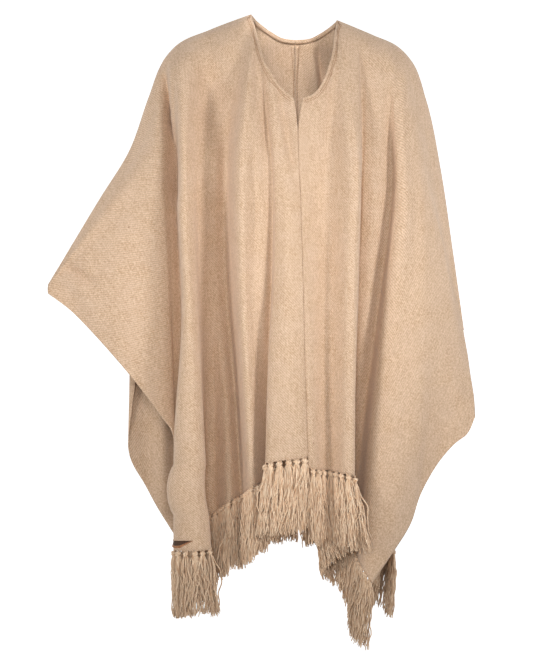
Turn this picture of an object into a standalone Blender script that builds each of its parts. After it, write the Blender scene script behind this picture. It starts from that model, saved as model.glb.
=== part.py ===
"""Andean poncho in the hollow shape it hangs in when worn, with nobody in it.

Two woven panels, one for each side of the body, run from the front fringe over the shoulder to the
back fringe. They are sewn together down the back and, below the neck slit, down the front.

The origin is midway between the two neck points, where the wearer's shoulders carry the cloth.
+X is the wearer's left, +Y the wearer's back, +Z is up. All sizes below are in millimetres.

The cloth is described by its fall lines: the crests, edges and troughs of its folds. Each one
drops from the top edge (the neckline, then the shoulder and arm) to the hem or the side edge.
"""

from collections import namedtuple

import bpy
import numpy as np

MM = 0.001  # the tables are in millimetres, Blender's scene is in metres

WALL = 2.2  # thickness of the woollen twill
SEAM_GAP = 0.3  # between the two panels along their seams
FRINGE_DROP = 126.0  # length of the knotted warp ends below the cloth
FRINGE_WALL = 2.2  # thickness of the hanging bundles
FRINGE_GAP = 3.6  # between the cloth's end and the fringe
FRINGE_FROM_SEAM = 1.5  # keeps the two panels' fringes apart at the seam
SEAM_STRIP = 5.0  # width of cloth that lies flat beside a seam
SLIT_OPENING = 7.5  # each side of the neck slit, at its top

COLUMNS_PER_FOLD = 2  # mesh columns between one fall line and the next
ROWS_FRONT = 13
ROWS_BACK = 11

# Where a fall line's chest, waist and hip points lie, as shares of its height.
SHARES = np.array([0.28, 0.53, 0.78])
CAP_SHARE = 0.065  # and the point where the cloth has turned over the shoulder or arm

CLOTH = (0.66, 0.47, 0.31, 1.0)
FRINGE = (0.62, 0.44, 0.29, 1.0)

# start: distance along the top edge from the neck point, less than 0 on the neckline.
# chest, waist, hip: (x, y). end: (x, y, z) on the hem or the side edge.
Fall = namedtuple("Fall", "name start chest waist hip end")

# The middle seam, from the slit's top to the hem; both front panels share it.
FRONT_SEAM = [(7, -116, -163), (6, -136, -226), (10, -155, -345), (15, -171, -510), (19, -179, -678), (25, -184, -850)]
BACK_SEAM = [(3, 76, -35), (3, 100, -110), (4, 122, -270), (6, 140, -480), (8, 150, -680), (10, 152, -883)]
SLIT_TOP, SLIT_BOTTOM = -163.0, -226.0

# Top edges of the wearer's right side (-x) and left side (+x), outwards from the middle.
RIGHT_NECK_FRONT = [(-1, -114, -158), (-33, -104, -127), (-54, -92, -94), (-66, -72, -57), (-75, -42, -20), (-82, 0, 6)]
LEFT_NECK_FRONT = [(14, -114, -168), (39, -106, -146), (59, -94, -112), (71, -76, -76), (77, -48, -36), (82, 0, -5)]
RIGHT_NECK_BACK = [(3, 76, -35), (-21, 72, -32), (-44, 58, -21), (-66, 32, -7), (-82, 0, 6)]
LEFT_NECK_BACK = [(3, 76, -35), (30, 72, -33), (53, 58, -23), (73, 32, -11), (82, 0, -5)]
RIGHT_ARM = [(-82, 0, 6), (-160, 4, -23), (-221, 4, -51), (-247, 2, -80), (-275, -2, -150), (-311, -8, -251),
             (-368, -22, -346), (-464, -50, -509)]
LEFT_ARM = [(82, 0, -5), (150, 4, -33), (200, 4, -57), (224, 2, -84), (250, 0, -155), (278, -4, -290),
            (300, -8, -440), (321, -14, -593)]

# How far the cloth stands off the top edge where it has turned down: (distance along, radius).
CAP_RADIUS = [(0, 22), (50, 35), (150, 50), (230, 46), (400, 38), (520, 24), (600, 12), (670, 2)]

RIGHT_FRONT = [
    Fall("seam", -999, (10, -155), (15, -171), (19, -179), (25, -184, -827)),
    Fall("strip inner", -196, (-2, -158), (2, -177), (6, -188), (12, -192, -829)),
    Fall("strip crest", -165, (-17, -158), (-17, -180), (-18, -194), (-21, -198, -833)),
    Fall("strip edge", -130, (-36, -150), (-36, -164), (-48, -178), (-54, -186, -839)),
    Fall("strip fold", -112, (-42, -138), (-42, -142), (-46, -140), (-32, -138, -848)),
    Fall("third trough", -90, (-54, -138), (-57, -151), (-58, -143), (-46, -122, -864)),
    Fall("third fall", -58, (-76, -147), (-82, -159), (-73, -159), (-64, -150, -876)),
    Fall("third crest", -30, (-94, -153), (-97, -171), (-88, -175), (-78, -172, -883)),
    Fall("third brow", -13, (-104, -149), (-109, -160), (-99, -163), (-87, -162, -887)),
    Fall("third edge", 0, (-109, -136), (-112, -134), (-101, -132), (-88, -140, -892)),
    Fall("second trough", 35, (-123, -86), (-125, -84), (-109, -80), (-98, -100, -900)),
    Fall("second crest", 70, (-148, -96), (-147, -91), (-129, -97), (-121, -134, -912)),
    Fall("second fall", 105, (-169, -104), (-165, -97), (-153, -77), (-149, -94, -933)),
    Fall("second fold", 128, (-184, -118), (-177, -111), (-173, -104), (-184, -122, -967)),
    Fall("first edge", 147, (-193, -132), (-181, -143), (-169, -159), (-155, -167, -995)),
    Fall("first crest", 163, (-206, -142), (-194, -162), (-190, -180), (-186, -188, -1000)),
    Fall("first side", 183, (-217, -129), (-208, -145), (-222, -158), (-223, -165, -1000)),
    Fall("corner", 205, (-221, -76), (-211, -76), (-214, -82), (-204, -110, -1003)),
    Fall("side edge 1", 232, (-233, -82), (-227, -83), (-226, -80), (-222, -94, -900)),
    Fall("side edge 2", 262, (-248, -96), (-240, -96), (-230, -92), (-225, -100, -797)),
    Fall("side edge 3", 300, (-268, -98), (-264, -102), (-255, -102), (-249, -106, -754)),
    Fall("side edge 4", 390, (-318, -84), (-312, -96), (-307, -102), (-302, -102, -684)),
    Fall("side edge 5", 510, (-380, -68), (-374, -80), (-368, -88), (-362, -88, -615)),
    Fall("side edge 6", 600, (-428, -56), (-424, -62), (-420, -66), (-416, -68, -560)),
    Fall("tip", 999, (-464, -54), (-464, -56), (-464, -58), (-463, -60, -524)),
]

LEFT_FRONT = [
    Fall("seam", -999, (10, -155), (15, -171), (19, -179), (25, -184, -847)),
    Fall("strip inner", -196, (23, -150), (28, -164), (32, -174), (38, -180, -850)),
    Fall("strip trough", -130, (58, -133), (62, -139), (62, -146), (64, -151, -853)),
    Fall("strip crest", -40, (102, -152), (99, -170), (95, -178), (92, -182, -858)),
    Fall("strip edge", 48, (123, -140), (119, -158), (113, -168), (111, -174, -865)),
    Fall("strip fold", 54, (121, -118), (113, -122), (97, -114), (78, -136, -886)),
    Fall("hidden side", 60, (126, -104), (112, -100), (86, -92), (48, -108, -920)),
    Fall("hidden turn", 72, (133, -108), (121, -100), (93, -76), (52, -68, -950)),
    Fall("trough wall", 92, (152, -109), (138, -104), (110, -80), (84, -62, -968)),
    Fall("trough", 125, (181, -92), (157, -92), (128, -82), (110, -88, -998)),
    Fall("wing side", 150, (191, -117), (164, -124), (138, -132), (124, -142, -1030)),
    Fall("corner", 175, (206, -124), (183, -133), (160, -147), (143, -153, -1062)),
    Fall("side edge 1", 205, (225, -110), (214, -126), (203, -140), (180, -136, -1009)),
    Fall("side edge 2", 250, (244, -102), (238, -118), (231, -126), (215, -112, -956)),
    Fall("side edge 3", 310, (262, -86), (262, -102), (252, -106), (235, -96, -901)),
    Fall("side edge 4", 400, (283, -66), (284, -82), (279, -92), (266, -90, -846)),
    Fall("side edge 5", 520, (300, -50), (304, -66), (304, -78), (298, -84, -808)),
    Fall("side edge 6", 610, (314, -38), (320, -54), (324, -66), (325, -72, -787)),
    Fall("tip", 999, (327, -30), (332, -44), (338, -54), (340, -60, -756)),
]

RIGHT_BACK = [
    Fall("seam", -999, (4, 122), (6, 140), (8, 150), (10, 152, -883)),
    Fall("crest 1", -75, (-34, 130), (-38, 154), (-42, 172), (-46, 184, -879)),
    Fall("wall 1", -55, (-56, 124), (-58, 140), (-57, 148), (-52, 150, -886)),
    Fall("trough 1", -30, (-78, 116), (-78, 122), (-74, 116), (-66, 104, -894)),
    Fall("rise 2", 15, (-100, 120), (-96, 134), (-90, 142), (-86, 138, -890)),
    Fall("crest 2", 45, (-124, 126), (-122, 154), (-118, 172), (-114, 186, -888)),
    Fall("wall 2", 70, (-142, 112), (-138, 130), (-132, 138), (-126, 144, -902)),
    Fall("trough 2", 100, (-164, 98), (-158, 104), (-148, 100), (-138, 90, -920)),
    Fall("rise 3", 130, (-184, 100), (-176, 118), (-166, 128), (-156, 128, -930)),
    Fall("crest 3", 160, (-206, 102), (-202, 132), (-194, 152), (-184, 166, -944)),
    Fall("wall 3", 185, (-220, 88), (-214, 104), (-204, 116), (-192, 122, -966)),
    Fall("trough 3", 210, (-234, 76), (-228, 78), (-214, 80), (-196, 78, -990)),
    Fall("corner", 235, (-246, 70), (-240, 80), (-230, 88), (-212, 86, -1015)),
    Fall("side edge 1", 262, (-262, 70), (-262, 84), (-256, 92), (-250, 86, -955)),
    Fall("side edge 2", 300, (-280, 66), (-284, 82), (-284, 90), (-284, 86, -895)),
    Fall("side edge 3", 345, (-300, 60), (-306, 74), (-312, 84), (-317, 82, -830)),
    Fall("side edge 4", 400, (-322, 52), (-320, 66), (-315, 76), (-311, 78, -745)),
    Fall("side edge 5", 455, (-345, 42), (-334, 56), (-318, 66), (-308, 70, -675)),
    Fall("side edge 6", 560, (-398, 16), (-388, 26), (-372, 34), (-360, 38, -600)),
    Fall("tip", 999, (-464, -46), (-464, -44), (-464, -42), (-463, -40, -524)),
]

LEFT_BACK = [
    Fall("seam", -999, (4, 122), (6, 140), (8, 150), (10, 152, -883)),
    Fall("crest 1", -70, (44, 130), (48, 152), (54, 168), (58, 180, -880)),
    Fall("wall 1", -45, (64, 122), (68, 136), (68, 144), (64, 146, -887)),
    Fall("trough 1", -15, (86, 114), (88, 120), (86, 112), (78, 98, -896)),
    Fall("rise 2", 20, (108, 118), (106, 132), (102, 138), (100, 132, -894)),
    Fall("crest 2", 50, (134, 122), (134, 150), (132, 168), (130, 178, -898)),
    Fall("wall 2", 72, (152, 108), (150, 124), (146, 132), (142, 136, -914)),
    Fall("trough 2", 96, (172, 96), (168, 98), (160, 90), (150, 84, -936)),
    Fall("rise 3", 118, (188, 98), (184, 112), (176, 120), (166, 118, -962)),
    Fall("crest 3", 140, (202, 102), (204, 126), (198, 142), (186, 150, -990)),
    Fall("corner", 170, (216, 86), (220, 104), (212, 112), (194, 106, -1020)),
    Fall("side edge 1", 205, (232, 76), (238, 92), (230, 100), (212, 98, -965)),
    Fall("side edge 2", 250, (248, 66), (254, 80), (250, 88), (236, 88, -905)),
    Fall("side edge 3", 320, (264, 54), (270, 68), (268, 76), (262, 78, -840)),
    Fall("side edge 4", 430, (288, 38), (292, 50), (294, 58), (292, 62, -775)),
    Fall("tip", 999, (325, -4), (329, 2), (333, 6), (334, 8, -735)),
]


def smooth(knots, points, at):
    """A smooth curve through points at their knots: Hermite pieces, sloped by the three nearest points."""
    knots, points = np.asarray(knots, float), np.asarray(points, float)
    gaps = np.diff(knots)
    rises = np.diff(points, axis=0) / gaps[:, None]
    slopes = np.vstack([rises[:1], rises[-1:]])
    if len(rises) > 1:
        before, after = gaps[:-1, None], gaps[1:, None]
        inner = (after * rises[:-1] + before * rises[1:]) / (before + after)
        slopes = np.vstack([rises[:1], inner, rises[-1:]])
    piece = np.clip(np.searchsorted(knots, at, side="right") - 1, 0, len(gaps) - 1)
    gap = gaps[piece][:, None]
    t = (np.asarray(at, float)[:, None] - knots[piece][:, None]) / gap
    near, far = points[piece], points[piece + 1]
    return ((1 + 2 * t) * (1 - t) ** 2 * near + t * (1 - t) ** 2 * gap * slopes[piece]
            + t * t * (3 - 2 * t) * far - t * t * (1 - t) * gap * slopes[piece + 1])


def lengths_along(points):
    """Distance of each point from the first, along the straight lines between them."""
    steps = np.linalg.norm(np.diff(np.asarray(points, float), axis=0), axis=1)
    return np.concatenate([[0.0], np.cumsum(steps)])


class TopEdge:
    """Where a quarter of the cloth starts: its neckline, then the shoulder and arm line."""

    def __init__(self, neck, arm):
        self.neck, self.arm = np.array(neck, float), np.array(arm, float)
        self.neck_at = lengths_along(neck)
        self.first = -self.neck_at[-1]
        self.neck_at = self.neck_at + self.first
        self.arm_at = lengths_along(arm)
        self.last = self.arm_at[-1]

    def point(self, along):
        on_arm = smooth(self.arm_at, self.arm, np.clip(along, 0, self.last))
        on_neck = smooth(self.neck_at, self.neck, np.clip(along, self.first, 0))
        return np.where(along[:, None] >= 0, on_arm, on_neck)

    def inward(self, along):
        """Unit vector in the x-z plane that points from the arm line to the cloth below it."""
        step = 2.0
        along = np.clip(along, 0, self.last)
        ahead = smooth(self.arm_at, self.arm, np.clip(along + step, 0, self.last))
        behind = smooth(self.arm_at, self.arm, np.clip(along - step, 0, self.last))
        run = (ahead - behind)[:, [0, 2]]
        run /= np.linalg.norm(run, axis=1)[:, None]
        side = np.sign(self.arm[-1, 0])
        return np.stack([run[:, 1] * side, np.zeros(len(run)), -run[:, 0] * side], axis=1)


class Quarter:
    """The front or the back of one panel, as a surface of fall lines."""

    def __init__(self, falls, edge, seam, way):
        self.edge, self.way = edge, way
        self.seam = np.array(seam, float)
        self.falls = falls
        self.order = np.arange(len(falls), dtype=float)
        self.starts = np.clip([f.start for f in falls], edge.first, edge.last)
        self.corner = [f.name for f in falls].index("corner")
        self.plans = [np.array([getattr(f, level) for f in falls], float) for level in ("chest", "waist", "hip")]
        self.ends = np.array([f.end for f in falls], float)

    def end_points(self, order):
        """The hem up to the corner, then the side edge: two smooth lines that meet there."""
        c = self.corner
        hem = smooth(self.order[: c + 1], self.ends[: c + 1], np.clip(order, 0, c))
        side = smooth(self.order[c:], self.ends[c:], np.clip(order, c, self.order[-1]))
        return np.where(order[:, None] <= c, hem, side)

    def top_points(self, order):
        return self.edge.point(np.interp(order, self.order, self.starts))

    def cap_points(self, order, top, first_level):
        """Where the cloth has turned over: round the shoulder or arm, and a soft swell below the neckline."""
        along = np.interp(order, self.order, self.starts)
        radius = np.interp(along, *np.transpose(CAP_RADIUS))[:, None]
        turned = top + self.edge.inward(along) * radius * 0.5
        turned = turned + np.array([0, self.way, 0]) * radius
        below = top + (first_level - top) * (CAP_SHARE / SHARES[0]) + np.array([0, self.way * 4.0, 0])
        on_neck = np.clip(-along / 70.0, 0, 1)[:, None]
        on_neck = on_neck * on_neck * (3 - 2 * on_neck)
        opposite = 2 * top - turned
        opposite[:, [0, 2]] = turned[:, [0, 2]]
        return turned * (1 - on_neck) + below * on_neck, opposite * (1 - on_neck) + (2 * top - below) * on_neck

    def grid(self, order, rows):
        """Points of the cloth: one column for each place in order, rows + 1 points down each."""
        order = np.asarray(order, float)
        top, end = self.top_points(order), self.end_points(order)
        levels = []
        for share, plan in zip(SHARES, self.plans):
            flat = smooth(self.order, plan, order)
            height = top[:, 2] + share * (end[:, 2] - top[:, 2])
            levels.append(np.column_stack([flat, height]))
        cap, opposite = self.cap_points(order, top, levels[0])
        knots = np.concatenate([[-CAP_SHARE, 0, CAP_SHARE], SHARES, [1]])
        through = np.stack([opposite, top, cap, *levels, end])
        down = np.linspace(0, 1, rows + 1) ** 1.12
        flat = smooth(knots, through.reshape(len(knots), -1), down)
        points = flat.reshape(rows + 1, len(order), 3).transpose(1, 0, 2)
        return self.meet_seam(points, order, down)

    def meet_seam(self, points, order, down):
        """The first column lies on the middle seam, and its neighbours follow it."""
        first, last = self.seam[0, 2], self.ends[0, 2]
        heights = first + down * (last - first)
        seam = smooth(-self.seam[:, 2], self.seam[:, :2], -heights)
        on_seam = np.column_stack([seam, heights])
        shift = on_seam - points[0]
        near = np.clip(1 - order, 0, 1)
        near = (near * near * (3 - 2 * near))[:, None, None]
        return points + shift[None] * near


def columns(quarter, per_fold, low=None, high=None):
    """Places between the fall lines, per_fold to each gap, within low to high along the top edge."""
    count = (len(quarter.falls) - 1) * per_fold + 1
    order = np.linspace(0, len(quarter.falls) - 1, count)
    along = np.interp(order, quarter.order, quarter.starts)
    keep = np.ones(count, bool)
    if low is not None:
        keep &= along > low
    if high is not None:
        keep &= along < high
    return order[keep], along[keep]


def panel_surface(front, back, side):
    """(points, faces) of one panel's open surface, front and back joined along the shoulder and arm."""
    shared_order, shared_along = columns(front, COLUMNS_PER_FOLD, low=1.0)
    shared_along = np.concatenate([[0.0], shared_along])
    front_neck, _ = columns(front, COLUMNS_PER_FOLD, high=-1.0)
    back_neck, _ = columns(back, COLUMNS_PER_FOLD, high=-1.0)
    at_neck_point = np.interp(0.0, front.starts, front.order)
    front_order = np.concatenate([front_neck, [at_neck_point], shared_order])
    back_order = np.concatenate([back_neck, np.interp(shared_along, back.starts, back.order)])
    front_grid = front.grid(front_order, ROWS_FRONT)
    back_grid = back.grid(back_order, ROWS_BACK)
    slit_edge(front_grid, front_order, side)
    front_grid, back_grid = flat_beside_seam(front_grid, side), flat_beside_seam(back_grid, side)
    necks = len(front_neck) + 1, len(back_neck) + 1

    front_index = np.arange(front_grid[..., 0].size).reshape(front_grid.shape[:2])
    back_index = np.arange(back_grid[..., 0].size).reshape(back_grid.shape[:2]) + front_index.size
    back_index[necks[1]:, 0] = front_index[necks[0]:, 0]
    points = np.concatenate([front_grid.reshape(-1, 3), back_grid.reshape(-1, 3)])
    faces = quads(front_index, side > 0) + quads(back_index, side < 0)
    return points, faces


def slit_edge(grid, order, side):
    """Opens the neck slit: above its lower end the panel's first columns draw aside."""
    height = grid[0, :, 2]
    open_share = np.clip((height - SLIT_BOTTOM) / (SLIT_TOP - SLIT_BOTTOM), 0, 1) ** 1.3
    near = np.clip(1 - order / 2.0, 0, 1)[:, None]
    grid[:, :, 0] += side * SLIT_OPENING * open_share[None] * near


def flat_beside_seam(grid, side):
    """Starts the grid half the gap from the seam, with a strip that lies flat, so both panels' edges face each other."""
    edge, strip = grid[:1].copy(), grid[:1].copy()
    edge[..., 0] += side * SEAM_GAP / 2
    strip[..., 0] += side * SEAM_STRIP
    return np.concatenate([edge, strip, grid[1:]])


def quads(index, flip):
    """Faces between the grid's neighbouring columns and rows, all wound the same way."""
    corners = np.stack([index[:-1, :-1], index[1:, :-1], index[1:, 1:], index[:-1, 1:]], axis=-1)
    corners = corners.reshape(-1, 4)
    return (corners[:, ::-1] if flip else corners).tolist()


def material(name, colour, roughness):
    made = bpy.data.materials.new(name)
    made.use_nodes = True
    shader = made.node_tree.nodes["Principled BSDF"]
    shader.inputs["Base Color"].default_value = colour
    shader.inputs["Roughness"].default_value = roughness
    shader.inputs["Metallic"].default_value = 0.0
    return made


def wall_object(name, points, faces, thickness, finish, collection):
    """A closed wall of that thickness, half to each side of an open surface."""
    mesh = bpy.data.meshes.new(name)
    mesh.from_pydata((np.asarray(points) * MM).tolist(), [], faces)
    mesh.validate()
    mesh.shade_smooth()
    mesh.materials.append(finish)
    made = bpy.data.objects.new(name, mesh)
    collection.objects.link(made)
    solid = made.modifiers.new("wall", "SOLIDIFY")
    solid.thickness = thickness * MM
    solid.offset = 0.0
    return made


def fringe_surface(quarter, side):
    """A curtain that hangs straight down from the hem, for the reach of the knotted ends."""
    places = np.linspace(0, quarter.corner, quarter.corner * COLUMNS_PER_FOLD + 1)
    hem = quarter.end_points(places)
    hem = flat_beside_seam(hem[:, None], side)[:, 0]
    hem[0, 0] += side * FRINGE_FROM_SEAM
    top = hem - np.array([0, 0, FRINGE_GAP])
    bottom = hem - np.array([0, 0, FRINGE_DROP])
    grid = np.stack([top, bottom], axis=1)
    index = np.arange(grid[..., 0].size).reshape(grid.shape[:2])
    return grid.reshape(-1, 3), quads(index, (side > 0) == (quarter.way < 0))


def clear_scene():
    for old in list(bpy.data.objects):
        bpy.data.objects.remove(old, do_unlink=True)


def main():
    clear_scene()
    poncho = bpy.data.collections.new("andean_poncho")
    bpy.context.scene.collection.children.link(poncho)
    cloth = material("wool_twill", CLOTH, 0.9)
    ends = material("wool_fringe", FRINGE, 0.95)
    sides = {
        "right": (-1, TopEdge(RIGHT_NECK_FRONT, RIGHT_ARM), TopEdge(RIGHT_NECK_BACK, RIGHT_ARM), RIGHT_FRONT, RIGHT_BACK),
        "left": (1, TopEdge(LEFT_NECK_FRONT, LEFT_ARM), TopEdge(LEFT_NECK_BACK, LEFT_ARM), LEFT_FRONT, LEFT_BACK),
    }
    for name, (side, front_edge, back_edge, front_falls, back_falls) in sides.items():
        front = Quarter(front_falls, front_edge, FRONT_SEAM, -1)
        back = Quarter(back_falls, back_edge, BACK_SEAM, 1)
        points, faces = panel_surface(front, back, side)
        wall_object(f"{name}_panel", points, faces, WALL, cloth, poncho)
        for part, quarter in (("front", front), ("back", back)):
            points, faces = fringe_surface(quarter, side)
            wall_object(f"{name}_{part}_fringe", points, faces, FRINGE_WALL, ends, poncho)


main()
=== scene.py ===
"""The finished look of the poncho: two woven panels, their sewing, and the knotted fringe.

Sizes are in millimetres unless a comment says otherwise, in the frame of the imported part: the
origin is midway between the two neck points, +X is the wearer's left, +Y the wearer's back and
+Z is up. Right and left are the wearer's.
The cloth is described by its fall lines, the crests, edges and troughs of its folds. Each one
drops from the top edge (the neckline, then the shoulder and arm) to the hem or the side edge.
"""

import math
from collections import namedtuple
from functools import partial

import bpy
import numpy as np
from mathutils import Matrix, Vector
from mathutils.bvhtree import BVHTree

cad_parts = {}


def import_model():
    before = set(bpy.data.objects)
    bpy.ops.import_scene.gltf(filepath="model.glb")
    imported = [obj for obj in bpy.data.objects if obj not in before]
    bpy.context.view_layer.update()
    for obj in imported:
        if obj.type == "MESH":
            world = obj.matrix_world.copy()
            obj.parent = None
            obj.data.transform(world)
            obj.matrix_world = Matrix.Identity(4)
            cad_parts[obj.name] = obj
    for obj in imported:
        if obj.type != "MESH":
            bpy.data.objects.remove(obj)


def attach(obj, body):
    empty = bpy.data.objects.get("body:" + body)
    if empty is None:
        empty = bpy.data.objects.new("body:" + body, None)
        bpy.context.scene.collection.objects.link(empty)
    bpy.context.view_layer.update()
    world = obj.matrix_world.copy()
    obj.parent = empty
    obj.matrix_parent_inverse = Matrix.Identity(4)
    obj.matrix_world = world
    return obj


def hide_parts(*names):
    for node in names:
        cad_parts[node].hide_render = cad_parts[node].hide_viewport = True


MM = 0.001
FRONT, BACK = -1, 1  # the way along y that a quarter of the cloth faces
RIGHT, LEFT = -1, 1  # its side along x
UP = np.array([0, 0, 1.0])

# Cloth.
WALL = 2.2  # thickness of the woollen twill
SEAM_STRIP = 1.5  # width of the flat strip of cloth beside each seam
SLIT_TOP, SLIT_BOTTOM = -163.0, -226.0
SLIT_OPENING = 7.5  # how far each side of the slit stands aside at its top
SLIT_SWEEP = 1.3  # 1 would open the slit along straight lines, and more curves them
LAP = 0.9  # along the front seam, the right edge stands this far forward and the left one this far back

# Mesh.
COLUMN_WIDTH = 7.0  # widest column
COLUMNS_PER_FALL = (3, 18)  # fewest and most columns between two fall lines
ROWS = {FRONT: 143, BACK: 114}
ROW_CROWDING = 1.12  # 1 would space the rows evenly, and more draws them towards the top edge
NECK_POINT_GAP = 1.0  # no other column comes this near to the neck point's own
LAST_NECK_COLUMN = 0.6  # the neckline's last column stops this short of the neck point

YARN_SIDES = 4  # of a stitch's or strand's round section
CORD_SIDES = 8  # of a rolled edge's or lip's

# Sewing.
STITCH_LENGTH = 3.2
STITCH_PITCH = 4.4
STITCH_START = 1.0  # from the seam's end to its first stitch
STITCH_RADIUS = 0.5
STITCH_LIFT = 0.35  # how far the thread's middle stands off the cloth
STITCH_SHAPE = [(0.0, -0.5), (0.25, 0.3), (0.75, 0.3), (1.0, -0.5)]  # (share of its length, rise)
HEM_WALL = 1.5  # thickness of cloth that is turned in and pressed
LAYER_GAP = 0.1
INNER_LAYER = -(WALL / 2 + HEM_WALL / 2 + LAYER_GAP)  # from the cloth's middle to the inner layer's
NECK_STEPS = 90
NECK_SEWING_END = 7.0  # how far from the neck point the neckline's sewing stops
NECK_ROLL = 1.6  # radius of the neckline's rolled edge
NECK_ROLL_SET = (1.2, -0.5)  # the roll's middle: from the edge, and out from the cloth's middle
NECK_HEM = {FRONT: 11.0, BACK: 8.4}  # width of the neckline's turned edge
NECK_HEM_SET = 1.0  # how far from the neckline's edge it starts
NECK_STITCH_ROWS = {FRONT: (5.6, 9.4), BACK: (7.0,)}
STITCH_MARGIN = 1.0  # the least cloth between a row of stitches and the turned edge's end
ALLOWANCE = [(0, 9.5), (70, 5.0)]  # the pressed seam allowance: (distance down the seam, width)
ALLOWANCE_REACH = (0.012, 0.97)  # where it starts and ends, as shares of the seam
ALLOWANCE_STEPS = 160
ALLOWANCE_SET = 0.5  # how far from the seam it starts
ALLOWANCE_STITCHES = 1.8  # from its outer edge to its stitches

# The small fold in the right front corner: its ends (x, z), and how far its lips bow up and down.
CORNER_FOLD = ((-238, -985), (-188, -981))
CORNER_FOLD_RISE, CORNER_FOLD_DROP = 3.2, 9.0
CORNER_FOLD_STEPS = 25
CORNER_FOLD_BELLY = 0.5  # below 1, its lips stand widest near the outer end
CORNER_FOLD_FROM = [(0, -150), (0.35, -190)]  # y of points before the cloth: (share along, y)
CORNER_FOLD_OUT = (0.4, 0.6)  # how far the upper and lower lip stand off the cloth
LIP_RADIUS, UPPER_LIP_SWELL, LOWER_LIP_SWELL = 0.5, 0.9, 1.9
UPPER_LIP_LIFT = 0.6

# Fringe.
KNOT_PITCH = 16.4
KNOT_WANDER = 0.9  # how far a knot may lie from its even place along the hem
KNOT_SIZE = (6.4, 5.6, 4.8)  # half width, half depth, half height
KNOT_SCALE = (0.9, 1.12)  # smallest and largest knot beside the usual one
KNOT_TILT = 0.25  # most tilt along the hem, in radians
KNOT_YARN = 2.5  # radius of the yarn bundle that makes the knot
KNOT_FLATTENING = 0.8  # the bundle's share of its radius where it crosses the knot's top and foot
KNOT_DROP = 6.2  # from the cloth's edge to the knot's middle
KNOT_STEPS, KNOT_SIDES = 26, 6
GATHERS = 4  # warp ends that gather into each knot
GATHER_SPREAD = 0.28  # half their spread at the cloth's edge, as a share of the knots' pitch
GATHER_IN_KNOT = 8.0  # and in the knot, in place of the pitch
GATHER_RISE, GATHER_DROP = 1.5, 2.0  # they start above the edge and end above the knot's middle
GATHER_RADIUS = 0.95
STRANDS = 29
STRAND_RADIUS = 1.22
STRAND_TAPER = [(0, 0.9), (0.1, 1.0), (0.9, 0.95), (1, 0.7)]  # (share of its length, share of the radius)
STRAND_SCALE = (0.8, 1.12)  # thinnest and thickest strand beside the usual one
STRAND_DOWN = np.concatenate([[0, 0.035, 0.08], np.linspace(0.15, 1, 15)])  # a strand's points
STRAND_START = 2.0  # from the knot's middle down to where the strands start
WAVE_GROWTH = 1 / 3  # the share of its length in which a strand's waves grow to their full height
TASSEL_LENGTH = 121.0
TASSEL_SCALE = (0.95, 1.04)
OWN_SCALE = (0.91, 1.02)  # a strand's length beside its tassel's
# How a tassel spreads below its knot, along the hem and out of the cloth: (share of length, half spread).
SPREAD_ALONG = [(0, 2.6), (0.05, 5.2), (0.12, 7.8), (0.45, 8.9), (1, 10.5)]
SPREAD_OUT = [(0, 2.0), (0.05, 3.4), (0.12, 5.0), (0.5, 6.0), (1, 7.0)]
WIDE_STRANDS, WIDE_SPREAD = 7, 1.5  # the first strands of a tassel spread further along the hem
TASSEL_LEVEL = [1, 1, 0.25]  # tassels spread nearly level, even where the hem slopes
FALL_CARRY = 12.0  # how far the slope of the cloth above carries a tassel aside and outwards
# A tassel's sway along the hem and out of the cloth: size and step of its slow wave from one
# tassel to the next, the wave's start, and the spread of its own chance part.
SWAY_ALONG = (4.0, 0.37, 1.3, 3.0)
SWAY_OUT = (3.0, 0.29, 0.0, 2.0)
SWAY_SWEEP, LEAN_SWEEP = 1.4, 1.2  # above 1, the sway and the lean grow towards the end
# Waves along a strand: least and most height, fewest and most turns.
TASSEL_BEND = (1.0, 3.4, 0.5, 1.0)
WAVES_ALONG = [(0.8, 3.2, 0.7, 2.0), (0.7, 2.1, 2.4, 4.6)]
WAVES_OUT = [(0.5, 2.0, 0.7, 2.0), (0.6, 1.7, 2.4, 4.6)]
STRAY_SHARE = 0.12  # strands that bow out of their tassel
STRAY_BOW = (5, 14)
STRAY_OUT, STRAY_DROP = 4.0, 0.88  # they stand out of the cloth and reach less far down
SEED = 41

# How the cloth is eased below the neck points: reach along the edge, width of the easing there,
# how far down it is full, and the samples it is averaged over, with the outermost one's weight.
NECK_EASE_REACH, NECK_EASE, NECK_EASE_DEPTH = 52.0, 26.0, 0.035
NECK_EASE_SAMPLES, NECK_EASE_RIM = 9, 0.2

# Where a fall line's chest, waist and hip points lie, as shares of its height.
SHARES = np.array([0.28, 0.53, 0.78])
CAP_SHARE = 0.065  # and the point where the cloth has turned over the shoulder or arm
CAP_DROP = 0.5  # how far the cloth has come down there, as a share of how far it stands off
NECK_STAND_OFF = 4.0  # and how far it stands off below the neckline, where nothing turns it
NECK_TURN = 70.0  # length of neckline, from the neck point, in which one changes into the other

# start: distance along the top edge from the neck point, less than 0 on the neckline.
# chest, waist, hip: (x, y). end: (x, y, z) on the hem or the side edge.
Fall = namedtuple("Fall", "name start chest waist hip end")

# The middle seams, from the slit's top and from the neckline down; both panels share them.
FRONT_SEAM = [(7, -116, -163), (6, -136, -226), (10, -155, -345), (15, -171, -510), (19, -179, -678),
              (25, -184, -850)]
BACK_SEAM = [(3, 76, -35), (3, 100, -110), (4, 122, -270), (6, 140, -480), (8, 150, -680), (10, 152, -883)]

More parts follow.
